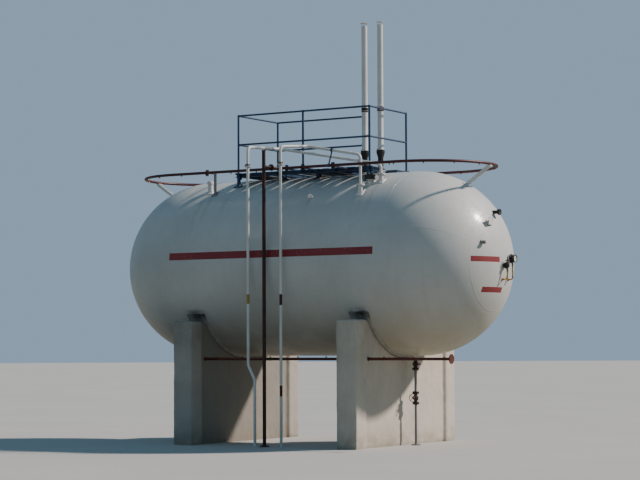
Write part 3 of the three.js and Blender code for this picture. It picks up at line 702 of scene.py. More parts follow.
# Colour, faded colour, chips, roughness, dust and streaks
WHITE, RED, PIPE_RED, RISER_RED, BLUE, BLACK, GREY, YELLOW, MAROON, DIAL_WHITE = [
    weathered_paint(name, rgb(*colour), rgb(*faded), *wear) for name, colour, faded, wear in (
        ("white_pipe_paint", (0.760, 0.765, 0.750), (0.680, 0.682, 0.655), (0.68, 0.44, 0.22, 0.08)),
        ("fire_red_paint", (0.058, 0.006, 0.006), (0.095, 0.013, 0.011), (0.66, 0.46, 0.10, 0.10)),
        ("brown_red_paint", (0.085, 0.010, 0.007), (0.125, 0.022, 0.014), (0.64, 0.48, 0.10, 0.12)),
        # The riser's red is a darker copy of the spray ring's red, as painted shade.
        ("red_paint_shaded_copy", (0.024, 0.003, 0.003), (0.046, 0.007, 0.006), (0.66, 0.50, 0.10, 0.08)),
        ("teal_blue_paint", (0.005, 0.036, 0.105), (0.011, 0.066, 0.140), (0.62, 0.45, 0.12, 0.12)),
        ("black_valve_paint", (0.009, 0.009, 0.010), (0.022, 0.022, 0.023), (0.67, 0.46, 0.20, 0.10)),
        ("grey_pipe_paint", (0.190, 0.200, 0.210), (0.265, 0.270, 0.275), (0.64, 0.45, 0.25, 0.18)),
        ("yellow_band_paint", (0.38, 0.25, 0.025), (0.35, 0.26, 0.07), (0.65, 0.42, 0.20, 0.20)),
        ("maroon_band_paint", (0.048, 0.005, 0.007), (0.078, 0.014, 0.013), (0.65, 0.45, 0.12, 0.1)),
        ("dial_white", (0.78, 0.78, 0.74), (0.70, 0.69, 0.62), (0.80, 0.30, 0.0, 0.05)))]
STEEL = bare_metal("plated_bolts", rgb(0.33, 0.32, 0.30), rgb(0.17, 0.155, 0.135), 0.42, 0.55)
BRASS = bare_metal("dull_brass", rgb(0.52, 0.33, 0.10), rgb(0.33, 0.20, 0.075), 0.34, 0.70)


# Vessel

# The outline of a weld seam: across it and out of the plate.
SEAM = mm(-8, -3, -6, 0.3, -3, 1.3, 3, 1.3, 6, 0.3, 8, -3)


def build_barrel():
    form = Form()
    inner, end = RADIUS - WALL, HALF_STRAIGHT
    rows = [(RADIUS, -end), (RADIUS, end), (inner, end), (inner, -end)]
    form.turned((0, 0, AXIS_Z), ALONG, rows, SHELL_SIDES, loop=True)
    girth = [(RADIUS + out, along) for along, out in SEAM]
    for x in (-end, -COURSE_X, COURSE_X, end):
        form.turned((x, 0, AXIS_Z), ALONG, girth, SHELL_SIDES, loop=True)
    for x0, x1, degrees in ((-end, -COURSE_X, 35), (-COURSE_X, COURSE_X, -50), (COURSE_X, end, 65)):
        for turn in (0, math.pi):
            angle = math.radians(degrees) + turn
            y, z = on_shell(angle)
            out = (0, math.sin(angle), math.cos(angle))
            form.swept([(x0, y, z), (x1, y, z)], outline=SEAM, up=out)
    make("shell_barrel", form, WHITE_SHELL)


def head_point(side, spin, lean):
    """A place on a head: lean goes from 0 at the rim to a right angle at the pole."""
    ring = RADIUS * math.cos(lean)
    x = side * (HALF_STRAIGHT + RADIUS * math.sin(lean))
    return Vector((x, ring * math.sin(spin), AXIS_Z + ring * math.cos(spin)))


def build_head(node, side):
    """A domed head, with a seam round its crown plate and seams between the petals below it."""
    form = Form()
    base, axis = (side * HALF_STRAIGHT, 0, AXIS_Z), ALONG * side
    leans = [math.pi / 2 * i / HEAD_RINGS for i in range(HEAD_RINGS)]
    outer = [(RADIUS * math.cos(lean), RADIUS * math.sin(lean)) for lean in leans]
    bore = RADIUS - WALL
    inner = [(r * bore / RADIUS, h * bore / RADIUS) for r, h in outer[::2]]
    rows = [(0, bore)] + inner[::-1] + outer + [(0, RADIUS)]
    form.turned(base, axis, rows, SHELL_SIDES)
    crown = math.radians(58)
    cos, sin = math.cos(crown), math.sin(crown)
    rows = [((RADIUS + out) * cos + across * sin, (RADIUS + out) * sin - across * cos)
            for across, out in SEAM]
    form.turned(base, axis, rows, SHELL_SIDES, loop=True)
    petals, stations = 8, 20
    for k in range(petals):
        spin = math.tau * (k + 0.5) / petals
        path = [head_point(side, spin, crown * i / stations) for i in range(stations + 1)]
        form.swept(path, outline=SEAM, up=(0, math.sin(spin), math.cos(spin)))
    make(node, form, WHITE_SHELL)


# Piers


def pier_form(x):
    """Two columns and a web between them, whose top is hollowed for the saddle pad."""
    form = Form()
    inner = PIER_HALF - COLUMN_WIDTH
    depth = COLUMN_HALF_DEPTH
    for side in SIDES:
        form.box((x - depth, side * PIER_HALF, 0), (x + depth, side * (inner - 0.001), PIER_TOP), 0.012)
    arc_end = math.sqrt(SEAT_RADIUS ** 2 - (AXIS_Z - PIER_TOP) ** 2)
    steps = 64
    edge = [arc_end * (2 * i / steps - 1) for i in range(steps + 1)]
    seat = [(y, AXIS_Z - math.sqrt(SEAT_RADIUS ** 2 - y ** 2)) for y in edge]
    side_y = inner + 0.02
    outline = [(-side_y, 0), (-side_y, PIER_TOP), *seat, (side_y, PIER_TOP), (side_y, 0)]
    count = len(outline)
    points = [(x + along, y, z) for along in (-WEB_HALF_DEPTH, WEB_HALF_DEPTH) for y, z in outline]
    faces = [list(range(count)), list(range(count, 2 * count))[::-1]]
    faces += [(i, (i + 1) % count, count + (i + 1) % count, count + i) for i in range(count)]
    form.add(points, faces)
    return form


def build_pier(node, x, seed):
    """The pier's form, remeshed into one skin and roughened as hand-made plaster."""
    mesh = raw_mesh(node + "_rough", pier_form(x))
    finish_mesh(mesh)
    rough = add_object(node + "_rough", mesh)
    remesh = rough.modifiers.new("remesh", "REMESH")
    remesh.mode = "VOXEL"
    remesh.voxel_size = PLASTER_VOXEL
    bpy.context.view_layer.update()
    evaluated = rough.evaluated_get(bpy.context.evaluated_depsgraph_get())
    skin = bpy.data.meshes.new_from_object(evaluated)
    bpy.data.objects.remove(rough)
    roughen(skin, x + MID_X, seed)
    skin.materials.clear()
    skin.materials.append(LIMEWASH)
    finish_mesh(skin, math.radians(60))
    skin.name = node + "_detail"
    place_piece(node, skin)


def roughen(skin, x, seed):
    """Moves each point a little, always inside the pier's true outline."""
    offset = Vector((seed * 7.3, seed * 1.9, 0))
    for vert in skin.vertices:
        swell = noise.fractal(vert.co * 3.1 + offset, 0.8, 2.0, 4) * 0.005
        grit = noise.noise(vert.co * 21.0 + offset) * 0.0022
        move = min(swell + grit - 0.003, 0.001)
        place = vert.co + vert.normal * move
        place.x = min(max(place.x, x - COLUMN_HALF_DEPTH), x + COLUMN_HALF_DEPTH)
        place.y = min(max(place.y, -PIER_HALF), PIER_HALF)
        place.z = max(place.z, 0.0) if vert.co.z > 0.02 else 0.0
        vert.co = place


def build_saddle_pad(node, x):
    """A curved steel band between the shell and the pier, with a weld bead along both edges."""
    form = Form()
    half_angle = math.acos((AXIS_Z - PAD_END_Z) / PAD_RADIUS)
    steps, edge, low = 72, 0.004, 0.0005
    half, thick = PAD_HALF_DEPTH, PAD_RADIUS - RADIUS - 0.0006
    outline = [(-half, low), (-half, thick - edge), (-half + edge, thick), (half - edge, thick),
               (half, thick - edge), (half, low)]
    angles = [math.pi - half_angle + 2 * half_angle * k / steps for k in range(steps + 1)]
    rows, points = [], []
    for angle in angles:
        rows.append([len(points) + i for i in range(len(outline))])
        points += [Vector((x + along, *on_shell(angle, out))) for along, out in outline]
    form.strips(rows, points)
    for side in SIDES:
        bead = [(x + side * (half + 0.004), *on_shell(angle, 0.001)) for angle in angles]
        form.swept(bead, 0.005, 8)
    make(node, form, SADDLE)


# Platform


def channel(width, height, web=0.005, flange=0.007):
    """A channel section with its open side towards positive across, centred on its bounding box."""
    w, h = width / 2, height / 2
    return [(-w, -h), (w, -h), (w, -h + flange), (-w + web, -h + flange), (-w + web, h - flange),
            (w, h - flange), (w, h), (-w, h)]


def build_platform():
    form = Form()
    top = DECK_TOP - DECK_PLATE - GAP
    middle = top - BEAM_HEIGHT / 2
    row_y, inner_y = DECK_SIDE - BEAM_WIDTH / 2, DECK_SIDE - 0.005
    end_x, cheek_y = DECK_RIGHT - BEAM_WIDTH / 2, NOTCH_SIDE + 0.006
    section = channel(BEAM_WIDTH, BEAM_HEIGHT)
    for side in SIDES:
        ends = [(DECK_LEFT, side * row_y, middle), (DECK_RIGHT, side * row_y, middle)]
        form.swept(ends[::side], outline=section, up=UP)
    for x in BEARERS_X:
        bearer = channel(BEAM_WIDTH, BEAM_HEIGHT - 0.015)
        form.swept([(x, -inner_y, middle), (x, inner_y, middle)], outline=bearer, up=UP)
    for side in SIDES:
        ends = [(end_x, side * NOTCH_SIDE, middle), (end_x, side * inner_y, middle)]
        form.swept(ends, outline=section, up=UP)
        cheek = [(NOTCH_LEFT - 0.02, side * cheek_y, middle), (DECK_RIGHT - 0.02, side * cheek_y, middle)]
        form.swept(cheek, outline=channel(0.008, BEAM_HEIGHT - 0.02, 0.003, 0.003), up=UP)
        for x in CORNER_LEGS_X:
            build_leg(form, x, side * row_y, top)
        for x in BEARERS_X[1:3]:
            build_leg(form, x, side * INNER_LEG_Y, top)
        for x in ARMS_X:
            build_arm(form, x, side, row_y)
    make("platform_frame", form, BLUE, STEEL)


def build_arm(form, x, side, row_y):
    """A flat arm from a stringer to the plate that the spray ring is bolted to."""
    start, end = side * row_y, side * RING_PLATE_Y
    for half, low, high in ((0.02, 0, 0.012), (0.004, 0.008, 0.0255)):
        form.box((x - half, start, ARM_BOTTOM + low), (x + half, end, ARM_BOTTOM + high), 0.001)
    ring_plate(form, x, side)


def ring_plate(form, x, side):
    """The upright plate behind a U-bolt of the spray ring."""
    back, front = side * (RING_PLATE_Y - 0.008), side * (RING_PLATE_Y + 0.002)
    form.box((x - 0.032, back, RING_Z - 0.055), (x + 0.032, front, RING_Z + 0.055), 0.0015)


def build_leg(form, x, y, top):
    """A channel leg on a bolted pad. A long one has a cleat and a gusset too."""
    foot = shell_height(y) - 0.01
    form.swept([(x, y, foot), (x, y, top - 0.01)], outline=channel(0.046, 0.046), up=NEAR)
    form.shell_pad(x, 0.069, y, 0.059, 0.012)
    for dx in (-0.055, 0.055):
        for dy in (-0.045, 0.045):
            angle = math.asin((y + dy) / RADIUS)
            out = Vector((0, math.sin(angle), math.cos(angle)))
            form.nut((x + dx, *on_shell(angle, 0.012)), out, 0.008)
    if top - foot < 0.12:
        return
    inward = -1 if y > 0 else 1
    cleat = y + inward * 0.034
    face = cleat + inward * 0.006
    form.box((x - 0.04, cleat, top - 0.10), (x + 0.04, face, top - 0.008), 0.001)
    for dx in (-0.024, 0.024):
        for drop in (0.03, 0.08):
            form.nut((x + dx, face, top - drop), Vector((0, inward, 0)), 0.009)
    corners = ((0.02, 0.01), (0.06, 0.012), (0.02, 0.075))
    form.hull([(x + 0.002 * sign, y + inward * a, foot + b) for sign in SIDES for a, b in corners])


def build_deck():
    """Planks of chequer plate laid across the frame, with gaps that let streaks of light through."""
    form = Form()
    low, high = DECK_TOP - DECK_PLATE, DECK_TOP
    starts = [DECK_LEFT] + [x + PLANK_GAP / 2 for x in PLANK_GAPS_X]
    ends = [x - PLANK_GAP / 2 for x in PLANK_GAPS_X] + [DECK_RIGHT]
    for start, end in zip(starts, ends):
        if start < NOTCH_LEFT:
            form.box((start, -DECK_SIDE, low), (min(end, NOTCH_LEFT), DECK_SIDE, high), 0.0008)
        if end > NOTCH_LEFT:
            start = max(start, NOTCH_LEFT - 0.0005)
            for side in SIDES:
                form.box((start, side * NOTCH_SIDE, low), (end, side * DECK_SIDE, high), 0.0008)
    for i in range(int((DECK_RIGHT - DECK_LEFT) / LOZENGE_PITCH)):
        for j in range(int(2 * DECK_SIDE / LOZENGE_PITCH)):
            x = DECK_LEFT + (i + 0.9) * LOZENGE_PITCH
            y = -DECK_SIDE + (j + 0.6) * LOZENGE_PITCH
            in_notch = x > NOTCH_LEFT - 0.02 and abs(y) < NOTCH_SIDE + 0.02
            in_gap = min(abs(x - gap) for gap in PLANK_GAPS_X) < PLANK_GAP / 2 + 0.012
            if not (in_notch or in_gap or x > DECK_RIGHT - 0.02):
                lozenge(form, x, y, high, math.radians(45 if (i + j) % 2 else -45))
    for x in BEARERS_X[:3]:
        for y in (-0.62, -0.31, 0.0, 0.31, 0.62):
            form.turned((x, y, high - 0.001), UP, mm(0, 0, 9, 0, 7, 2, 0, 2.8), 12, 1)
    make("deck_plate", form, DECK, STEEL)


def lozenge(form, x, y, z, angle):
    """A raised lozenge of the chequer plate."""
    long, short, rise = 0.0135, 0.0042, 0.0013
    forward = Vector((math.cos(angle), math.sin(angle), 0)) * long
    aside = Vector((-math.sin(angle), math.cos(angle), 0)) * short
    centre = Vector((x, y, z - 0.0002))
    base = [centre + forward, centre + aside, centre - forward, centre - aside]
    ridge = [centre + forward * 0.55 + UP * rise, centre - forward * 0.55 + UP * rise]
    faces = ((3, 2, 1, 0), (0, 1, 4), (1, 2, 5), (1, 5, 4), (2, 3, 5), (3, 0, 4), (3, 4, 5))
    form.add(base + ridge, faces)


def rail_post(form, x, y):
    base = DECK_TOP + GAP
    plate = base + 0.0077
    height = RAIL_TOP - base
    rows = [(0, 0), (POST_RADIUS + 0.007, 0), (POST_RADIUS + 0.006, 0.010), (POST_RADIUS, 0.018),
            (POST_RADIUS, height - 0.006), (POST_RADIUS * 0.8, height - 0.001), (0, height)]
    form.turned((x, y, base), UP, rows, 20)
    form.box((x - 0.04, y - 0.04, base), (x + 0.04, y + 0.04, plate), 0.001)
    form.bolts((x, y, plate), UP, 0.027 * math.sqrt(2), 4, 0.0075)


def build_rail(node, posts, corner=None):
    """Round posts with a top and a middle rail, which may run on to the next corner post."""
    form = Form()
    for x, y in posts:
        rail_post(form, x, y)
    stops = [Vector((*post, 0)) for post in (posts + [corner] if corner else posts)]
    along = (stops[-1] - stops[0]).normalized()
    for height in RAIL_HEIGHTS:
        lift = UP * height
        form.rod(stops[0] + lift, stops[-1] + lift, RAIL_RADIUS, 20)
        for stop in stops:
            for sign in SIDES:
                place = stop + lift + along * sign * (POST_RADIUS + 0.002)
                if (place - stops[0]).dot(along) > 0 and (stops[-1] - place).dot(along) > 0:
                    form.weld(place, along, RAIL_RADIUS)
    make(node, form, BLUE, STEEL)


# Spray system


def ring_path(steps=40):
    path = []
    for end in (1, -1):
        for i in range(steps + 1):
            angle = -math.pi / 2 + i / steps * math.pi
            x = end * (RING_STRAIGHT + RING_HALF_WIDTH * math.cos(angle))
            path.append(Vector((x, end * RING_HALF_WIDTH * math.sin(angle), RING_Z)))
    return path


def along_loop(path, spacing):
    """Places at even steps round a closed path."""
    places = []
    left_over = 0.0
    for start, end in zip(path, path[1:] + path[:1]):
        run = end - start
        length = run.length
        if length < TINY:
            continue
        at = left_over
        while at < length:
            places.append(start + run * (at / length))
            at += spacing
        left_over = at - length
    return places


def clamp(form, place, along, back, paint):
    """A U-bolt round the ring, with nuts behind a plate on the side that back points to."""
    aside = along.cross(back).normalized()
    reach = RING_RADIUS + 0.005
    turns = [math.pi * k / 12 for k in range(13)]
    arch = [place + (aside * math.cos(turn) - back * math.sin(turn)) * reach for turn in turns]
    leg = back * (RING_RADIUS + 0.034)
    form.swept([arch[0] + leg, *arch, arch[-1] + leg], 0.005, 8, paint, up=along)
    for sign in SIDES:
        foot = place + aside * sign * reach + back * (RING_RADIUS + 0.018)
        form.nut(foot, back, 0.009, paint)


def spray_nozzle(form, place, aim):
    form.turned(place, aim, mm(0, 16.8, 11, 16.8, 11, 36, 0, 36), 12)
    tip = mm(0, 34, 9, 34, 9, 44, 5.5, 52, 2.5, 52, 2.5, 46, 0, 46)
    form.turned(place, aim, tip, 12, 2)


def build_spray_ring():
    form = Form()
    path = ring_path()
    form.swept(path, RING_RADIUS, 24, loop=True, up=UP)
    for place in along_loop(path, 0.52):
        centre = Vector((min(max(place.x, -RING_STRAIGHT), RING_STRAIGHT), 0, RING_Z))
        aim = (centre - place).normalized() * 0.75 - UP
        spray_nozzle(form, place, aim.normalized())
    for side in SIDES:
        for x in (-RING_STRAIGHT, RING_STRAIGHT):
            form.weld((x, side * RING_HALF_WIDTH, RING_Z), ALONG, RING_RADIUS, 0.006)
        for x in (RING_POST_X, *ARMS_X):
            clamp(form, Vector((x, side * RING_HALF_WIDTH, RING_Z)), ALONG, NEAR * side, 3)
    make("spray_ring", form, RED, STEEL, BRASS, BLACK)


def build_ring_post(node, side):
    """A post that stands upright on the shell, with a short arm to the spray ring."""
    form = Form()
    x, y = RING_POST_X, side * RING_POST_Y
    top = RING_POST_TOP - 0.006
    form.rod((x, y, shell_height(y) - 0.02), (x, y, top), PIPE_RADIUS, 20)
    form.turned((x, y, top), UP, mm(0, 0, 24, 0, 20, 6, 0, 6), 20)
    form.shell_pad(x, 0.049, y, 0.049, 0.010)
    form.weld((x, y, shell_height(y) + 0.018), UP, PIPE_RADIUS, 0.006)
    form.rod((x, y, RING_Z), (x, side * RING_PLATE_Y, RING_Z), 0.014, 16)
    form.weld((x, side * (RING_POST_Y + 0.025), RING_Z), NEAR, 0.014, 0.004)
    ring_plate(form, x, side)
    make(node, form, GREY)


def build_ring_strut(node, end):
    """A channel strut that slants from a pad on the head to the end of the ring."""
    form = Form()
    middle = Vector((end * HALF_STRAIGHT, 0, AXIS_Z))
    foot = Vector((end * (RING_HALF_LENGTH - 0.44), 0, 4.34))
    tip = Vector((end * RING_HALF_LENGTH, 0, RING_Z - RING_RADIUS - GAP))
    along = (tip - foot).normalized()
    section = channel(0.050, 0.050, 0.006, 0.006)
    form.swept([foot - along * 0.05, tip - UP * 0.012], outline=section, up=(0, 1, 0))
    inner, outer = tip.x - end * 0.05, tip.x + end * 0.024
    form.box((inner, -0.035, tip.z - 0.010), (outer, 0.035, tip.z), 0.001)
    out = (foot - middle).normalized()
    form.turned(middle + out * (RADIUS - 0.006), out, mm(0, 0, 78, 0, 70, 16, 0, 20), 32)
    make(node, form, WHITE)


def build_riser():
    form = Form()
    foot = RISER
    form.flange(foot, UP, GROUND_FLANGE, 0.014, RISER_RADIUS, 0.022, sides=48)
    form.rod(foot + UP * 0.03, foot + UP * (RISER_TOP - 0.012), RISER_RADIUS, 32)
    cap = mm(0, 0, 36, 0, 38, 2, 38, 9, 34, 12, 0, 12)
    form.turned(foot + UP * (RISER_TOP - 0.012), UP, cap, 32)
    for height in (1.10, 2.30, 3.50):
        form.weld(foot + UP * height, UP, RISER_RADIUS, 0.006)
    for height in (RING_Z, LOWER_Z):
        form.turned(foot + UP * height, -NEAR, mm(0, 0, 34, 0, 32, 33, 26, 44, 0, 44))
    form.bolts(foot + UP * 0.014, UP, 0.062, 8, 0.009, tail=0.018)
    make("spray_riser", form, RISER_RED, STEEL)


def build_feeds():
    start = RISER.y + RISER_RADIUS
    for node, height, end in (("spray_feed_upper", RING_Z, -RING_HALF_WIDTH - 0.02),
                              ("spray_feed_lower", LOWER_Z, LOWER_Y - 0.02)):
        form = Form()
        form.rod((RISER.x, start, height), (RISER.x, end, height), PIPE_RADIUS, 24)
        middle = Vector((RISER.x, (start + end) / 2, height))
        if height > AXIS_Z:
            for side in SIDES:
                form.flange(middle, NEAR * side, 0.056, 0.014, PIPE_RADIUS, 0.016)
            form.studs(middle, NEAR, 0.042, 6, 0.0075, -0.014, 0.014)
        else:
            form.weld(middle, NEAR, PIPE_RADIUS, 0.006)
        make(node, form, RISER_RED, STEEL)


def build_lower_pipe():
    form = Form()
    y, z = LOWER_Y, LOWER_Z
    form.rod((LOWER_LEFT, y, z), (LOWER_RIGHT - 0.01, y, z), PIPE_RADIUS, 28)
    form.flange((LOWER_RIGHT, y, z), -ALONG, 0.08, 0.018, PIPE_RADIUS, 0.022)
    form.turned((LOWER_LEFT, y, z), ALONG, mm(0, 0, 29, 0, 32, 4, 32, 12, 26, 18, 0, 18), 28)
    for x in (-0.9, 0.75, 2.4):
        form.weld((x, y, z), ALONG, PIPE_RADIUS)
    for x in (-PIER_X, PIER_X):
        for side in SIDES:
            place = (x + side * WEB_HALF_DEPTH, y, z)
            form.turned(place, ALONG * side, mm(0, 0, 36, 0, 34, 4, 0, 6), 28)
    for k in range(9):
        x = -1.25 + k * 0.55
        if abs(abs(x) - PIER_X) > 0.25:
            spray_nozzle(form, Vector((x, y, z)), Vector((0, 0.45, 1)).normalized())
    form.bolts((LOWER_RIGHT - 0.018, y, z), -ALONG, 0.060, 8, 0.009)
    make("lower_spray_pipe", form, PIPE_RED, STEEL, BRASS)


# Process lines


def nozzle_face(y, rise=NOZZLE_RISE):
    return round(shell_height(y) + rise, 3)


def build_nozzle(node, place, rise=NOZZLE_RISE):
    x, y = place
    form = Form()
    face = nozzle_face(y, rise)
    form.rod((x, y, shell_height(y) - 0.1), (x, y, face - 0.01), NOZZLE_RADIUS, 32)
    hub = min(0.018, rise - 0.045)
    form.flange((x, y, face), DOWN, NOZZLE_FLANGE, FLANGE, NOZZLE_RADIUS, hub)
    form.shell_pad(x, 0.064, y, 0.064, 0.010)
    make(node, form, WHITE)


def build_line(name, spec, nozzle, bands, band_paint):
    """A line in two pieces: a riser with painted bands, and the pipe from its top to a nozzle."""
    def paint_at(place):
        return 2 if any(low < place.z < high for low, high in bands) else 0

    x, y, foot_x = spec["x"], LINE_Y, spec["x"] + spec["jog"]
    climb = [(foot_x, y, 0.01), (x, y, LINE_JOINT - 0.005)]
    if spec["jog"]:
        climb[1:1] = [(foot_x, y, JOG_BOTTOM), (x, y, JOG_TOP)]
    route = with_stops(bent(climb, 0.12), [z for band in bands for z in band])
    form = Form()
    form.swept(route, PIPE_RADIUS, 28, paint_at=paint_at)
    form.flange((foot_x, y, 0), UP, GROUND_FLANGE, FLANGE, PIPE_RADIUS, 0.02)
    form.bolts((foot_x, y, FLANGE), UP, 0.06, 6, 0.009, start=0.0)
    form.flange((x, y, LINE_JOINT), DOWN, LINE_FLANGE, FLANGE, PIPE_RADIUS, 0.016)
    for height in (0.62, 2.05, 3.42):
        form.weld((x if height > JOG_TOP else foot_x, y, height), UP, PIPE_RADIUS)
    make(name + "_riser", form, WHITE, STEEL, band_paint)

    end_x, end_y = nozzle
    corner_x, corner_z = spec["corner"]
    face = nozzle_face(end_y) + GAP
    start, end = Vector((corner_x, end_y, corner_z)), Vector((end_x, end_y, spec["end_top"]))
    corners = [(x, y, LINE_JOINT + 0.008), (x, y, spec["top"]), start, end, (end_x, end_y, face + 0.008)]
    form = Form()
    form.swept(bent(corners, 0.08, 10), PIPE_RADIUS, 28)
    form.flange((x, y, LINE_JOINT + GAP), UP, LINE_FLANGE, FLANGE, PIPE_RADIUS, 0.016, 2)
    form.studs((x, y, LINE_JOINT), UP, 0.041, 6, 0.0075)
    form.flange((end_x, end_y, face), UP, NOZZLE_FLANGE, FLANGE, PIPE_RADIUS, 0.018)
    form.studs((end_x, end_y, face), UP, 0.055, 8, 0.0085)
    for at in (0.18, 0.5, 0.82):
        form.weld(start.lerp(end, at), (end - start).normalized(), PIPE_RADIUS)
    paints = [WHITE, STEEL, MAROON]
    if name == "liquid_line":
        line_stand(form, start, end, len(paints))
        paints.append(BLUE)
    make(name + "_top", form, *paints)


def line_stand(form, start, end, paint):
    """A short stand from the spray ring to the liquid line."""
    seat = start.lerp(end, (0.95 - start.x) / (end.x - start.x))
    foot = Vector((0.98, -RING_HALF_WIDTH, RING_Z))
    form.rod(foot + UP * (RING_RADIUS - 0.01), seat - UP * 0.02, 0.012, 12, paint)
    for place, axis, slack in ((seat, (end - start).normalized(), 0), (foot, ALONG, 0.0005)):
        inner, outer = PIPE_RADIUS - 0.002 + slack, PIPE_RADIUS + 0.004 + slack
        collar = [(inner, -0.02), (outer, -0.02), (outer, 0.02), (inner, 0.02)]
        form.turned(place, axis, collar, 28, paint, loop=True)


def build_spare_cover():
    """A deep blind cap bolted to the short spare nozzle."""
    x, y = SPARE_NOZZLE
    face = nozzle_face(y, SPARE_RISE) + GAP
    form = Form()
    rows = mm(0, 0, 88, 0, 90, 2, 90, 20, 88, 22, 83, 25, 83, 52, 88, 55, 90, 57, 90, 74, 88, 76,
              60, 76, 60, 86, 56, 90, 0, 90)
    form.turned((x, y, face), UP, rows, 48)
    form.bolts((x, y, face + 0.076), UP, 0.075, 8, 0.0085)
    form.bolts((x, y, face - FLANGE), DOWN, 0.056, 8, 0.0075)
    make("spare_nozzle_cover", form, BLACK, STEEL)


def build_coupling():
    x, y = -1.66, -0.81
    seat = shell_height(y)
    form = Form()
    rows = mm(0, -70, 45, -70, 45, 125, 50, 130, 54, 134, 54, 171, 50, 175, 45, 176, 45, 186, 41, 190,
              0, 190)
    form.turned((x, y, seat), UP, rows, 32)
    form.shell_pad(x, 0.08, y, 0.07, 0.008)
    half = Vector((0.006, 0.006, 0.016))
    for cos, sin in circle(8, 0.0):
        place = Vector((x + 0.053 * cos, y + 0.053 * sin, seat + 0.1525))
        form.box(place - half, place + half, 0.001)
    make("left_coupling", form, WHITE)


# Relief valves and vents


def build_relief(side, x):
    form = Form()
    form.rod((x, 0, CROWN - 0.06), (x, 0, RELIEF_SEAT - 0.01), 0.044, 32)
    form.flange((x, 0, RELIEF_SEAT), DOWN, 0.078, FLANGE, 0.044, 0.014)
    form.shell_pad(x, 0.09, 0, 0.09, 0.010)
    make("relief_nozzle_" + side, form, WHITE)

    foot = RELIEF_SEAT + GAP
    rows = mm(0, 0, 76, 0, 78, 2, 78, 16, 76, 18, 50, 18, 41, 30, 40, 58, 47, 70, 49.5, 76, 49.5, 104,
              46, 110, 44.5, 118, 44.5, 206, 50, 226, 56, 250, 66, 282, 71, 296, 72, 300)
    rows += mm(72, -2, 70, 0, 0, 0, up=VENT_BASE - foot)
    form = Form()
    form.turned((x, 0, foot), UP, rows, 40)
    form.studs((x, 0, RELIEF_SEAT), UP, 0.062, 8, 0.009, -0.016, 0.018)
    fin = mm(38, 115, 52, 125, 52, 195, 40, 215)
    for cos, sin in circle(6, 0.0):
        form.hull([(x + cos * r - sin * 0.003 * sign, sin * r + cos * 0.003 * sign, foot + h)
                   for sign in SIDES for r, h in fin])
    form.rod((x, -0.03, foot + 0.09), (x, -0.066, foot + 0.09), 0.012, 16)
    form.nut((x, -0.066, foot + 0.09), NEAR, 0.014)
    make("relief_valve_" + side, form, BLACK, STEEL)


def build_vent(side, x):
    """A stack from the relief valve, with a sleeve at its joint and a rain cap on four bars."""
    base = VENT_BASE + GAP
    mouth = VENT_TOP - 0.062
    rows = mm(0, 0, 70, 0, 72, 2, 72, 12, 70, 14, 58, 14, 50, 30, up=base)
    rows += mm(50, 70, 56, 72, 56, 108, 50, 114, up=VENT_JOINT)
    rows += mm(50, 0, 46, 0, 46, -300, 0, -300, up=mouth)
    form = Form()
    form.turned((x, 0, 0), UP, rows, 40)
    sleeve = mm(49, 0, 57, 1, 58, 3, 58, 70, 56, 73, 49, 73)
    form.turned((x, 0, VENT_JOINT), UP, sleeve, 40, 2, loop=True)
    form.studs((x, 0, base), UP, 0.061, 6, 0.008, -0.018, 0.014)
    for height, radius in ((VENT_JOINT + 0.02, 0.058), (VENT_JOINT + 0.09, 0.058), (6.45, 0.05)):
        form.weld((x, 0, height), UP, radius)
    form.turned((x, 0, VENT_TOP), UP, mm(0, -10, 64, -14, 66, -12, 66, -9, 20, -1, 0, 0), 40)
    for cos, sin in circle(4):
        bar_x, bar_y = x + cos * 0.0485, sin * 0.0485
        form.rod((bar_x, bar_y, mouth - 0.06), (bar_x, bar_y, VENT_TOP - 0.010), 0.004, 8)
    make("vent_stack_" + side, form, WHITE, STEEL, BLACK)


# Gauge end


def small_pipe(node, x, y, top):
    """A thin pipe from under a fitting down to the head."""
    rise = -0.30
    face, z = head_x(y, rise), AXIS_Z + rise
    form = Form()
    form.swept(bent([(x, y, top - GAP), (x, y, z), (face - 0.03, y, z)], 0.04), 0.011, 16)
    form.nut((x, y, top - GAP), DOWN, 0.019, 0)
    form.nut((x, y, top - 0.026), DOWN, 0.016, 0)
    form.turned((face - 0.006, y, z), ALONG, mm(0, 0, 30, 0, 26, 12, 19, 14, 19, 30, 0, 30))
    make(node, form, BRASS)


def build_gauge():
    y, rise = 0.179, 0.046
    face, z = head_x(y, rise), AXIS_Z + rise
    joint = face + 0.034
    form = Form()
    form.turned((face - 0.04, y, z), ALONG, mm(0, 0, 58, 0, 54, 42, 48, 52, 48, 64, 0, 64), 40)
    form.flange((joint, y, z), -ALONG, 0.078, FLANGE, 0.048)
    make("gauge_boss", form, WHITE)

    seat = joint + GAP
    front = HALF_STRAIGHT + RADIUS + 0.11
    form = Form()
    form.flange((seat, y, z), ALONG, 0.078, 0.014, 0.048, 0.006)
    form.studs((seat, y, z), ALONG, 0.062, 8, 0.008, -0.016, 0.014)
    rows = mm(48, -60, 55, -50, 62, -46, 64, -40, 64, -12, 66, -10, 66, -2, 64, 0, 57, 0, 55, -3,
              55, -10, 0, -10, up=front - seat)
    form.turned((seat, y, z), ALONG, mm(0, 0, 48, 0) + rows, 48)
    dial_face(form, Vector((front - 0.010, y, z)))
    stem_x = seat + 0.028
    form.turned((stem_x, y, z), DOWN, mm(0, 0, 16, 0, 16, 60, 14, 64, 14, 99.8, 0, 99.8), 20)
    form.nut((stem_x, y, z - 0.066), DOWN, 0.020)
    make("level_gauge", form, BLACK, STEEL, DIAL_WHITE, RED)
    small_pipe("gauge_pipe", stem_x, y, z - 0.1)


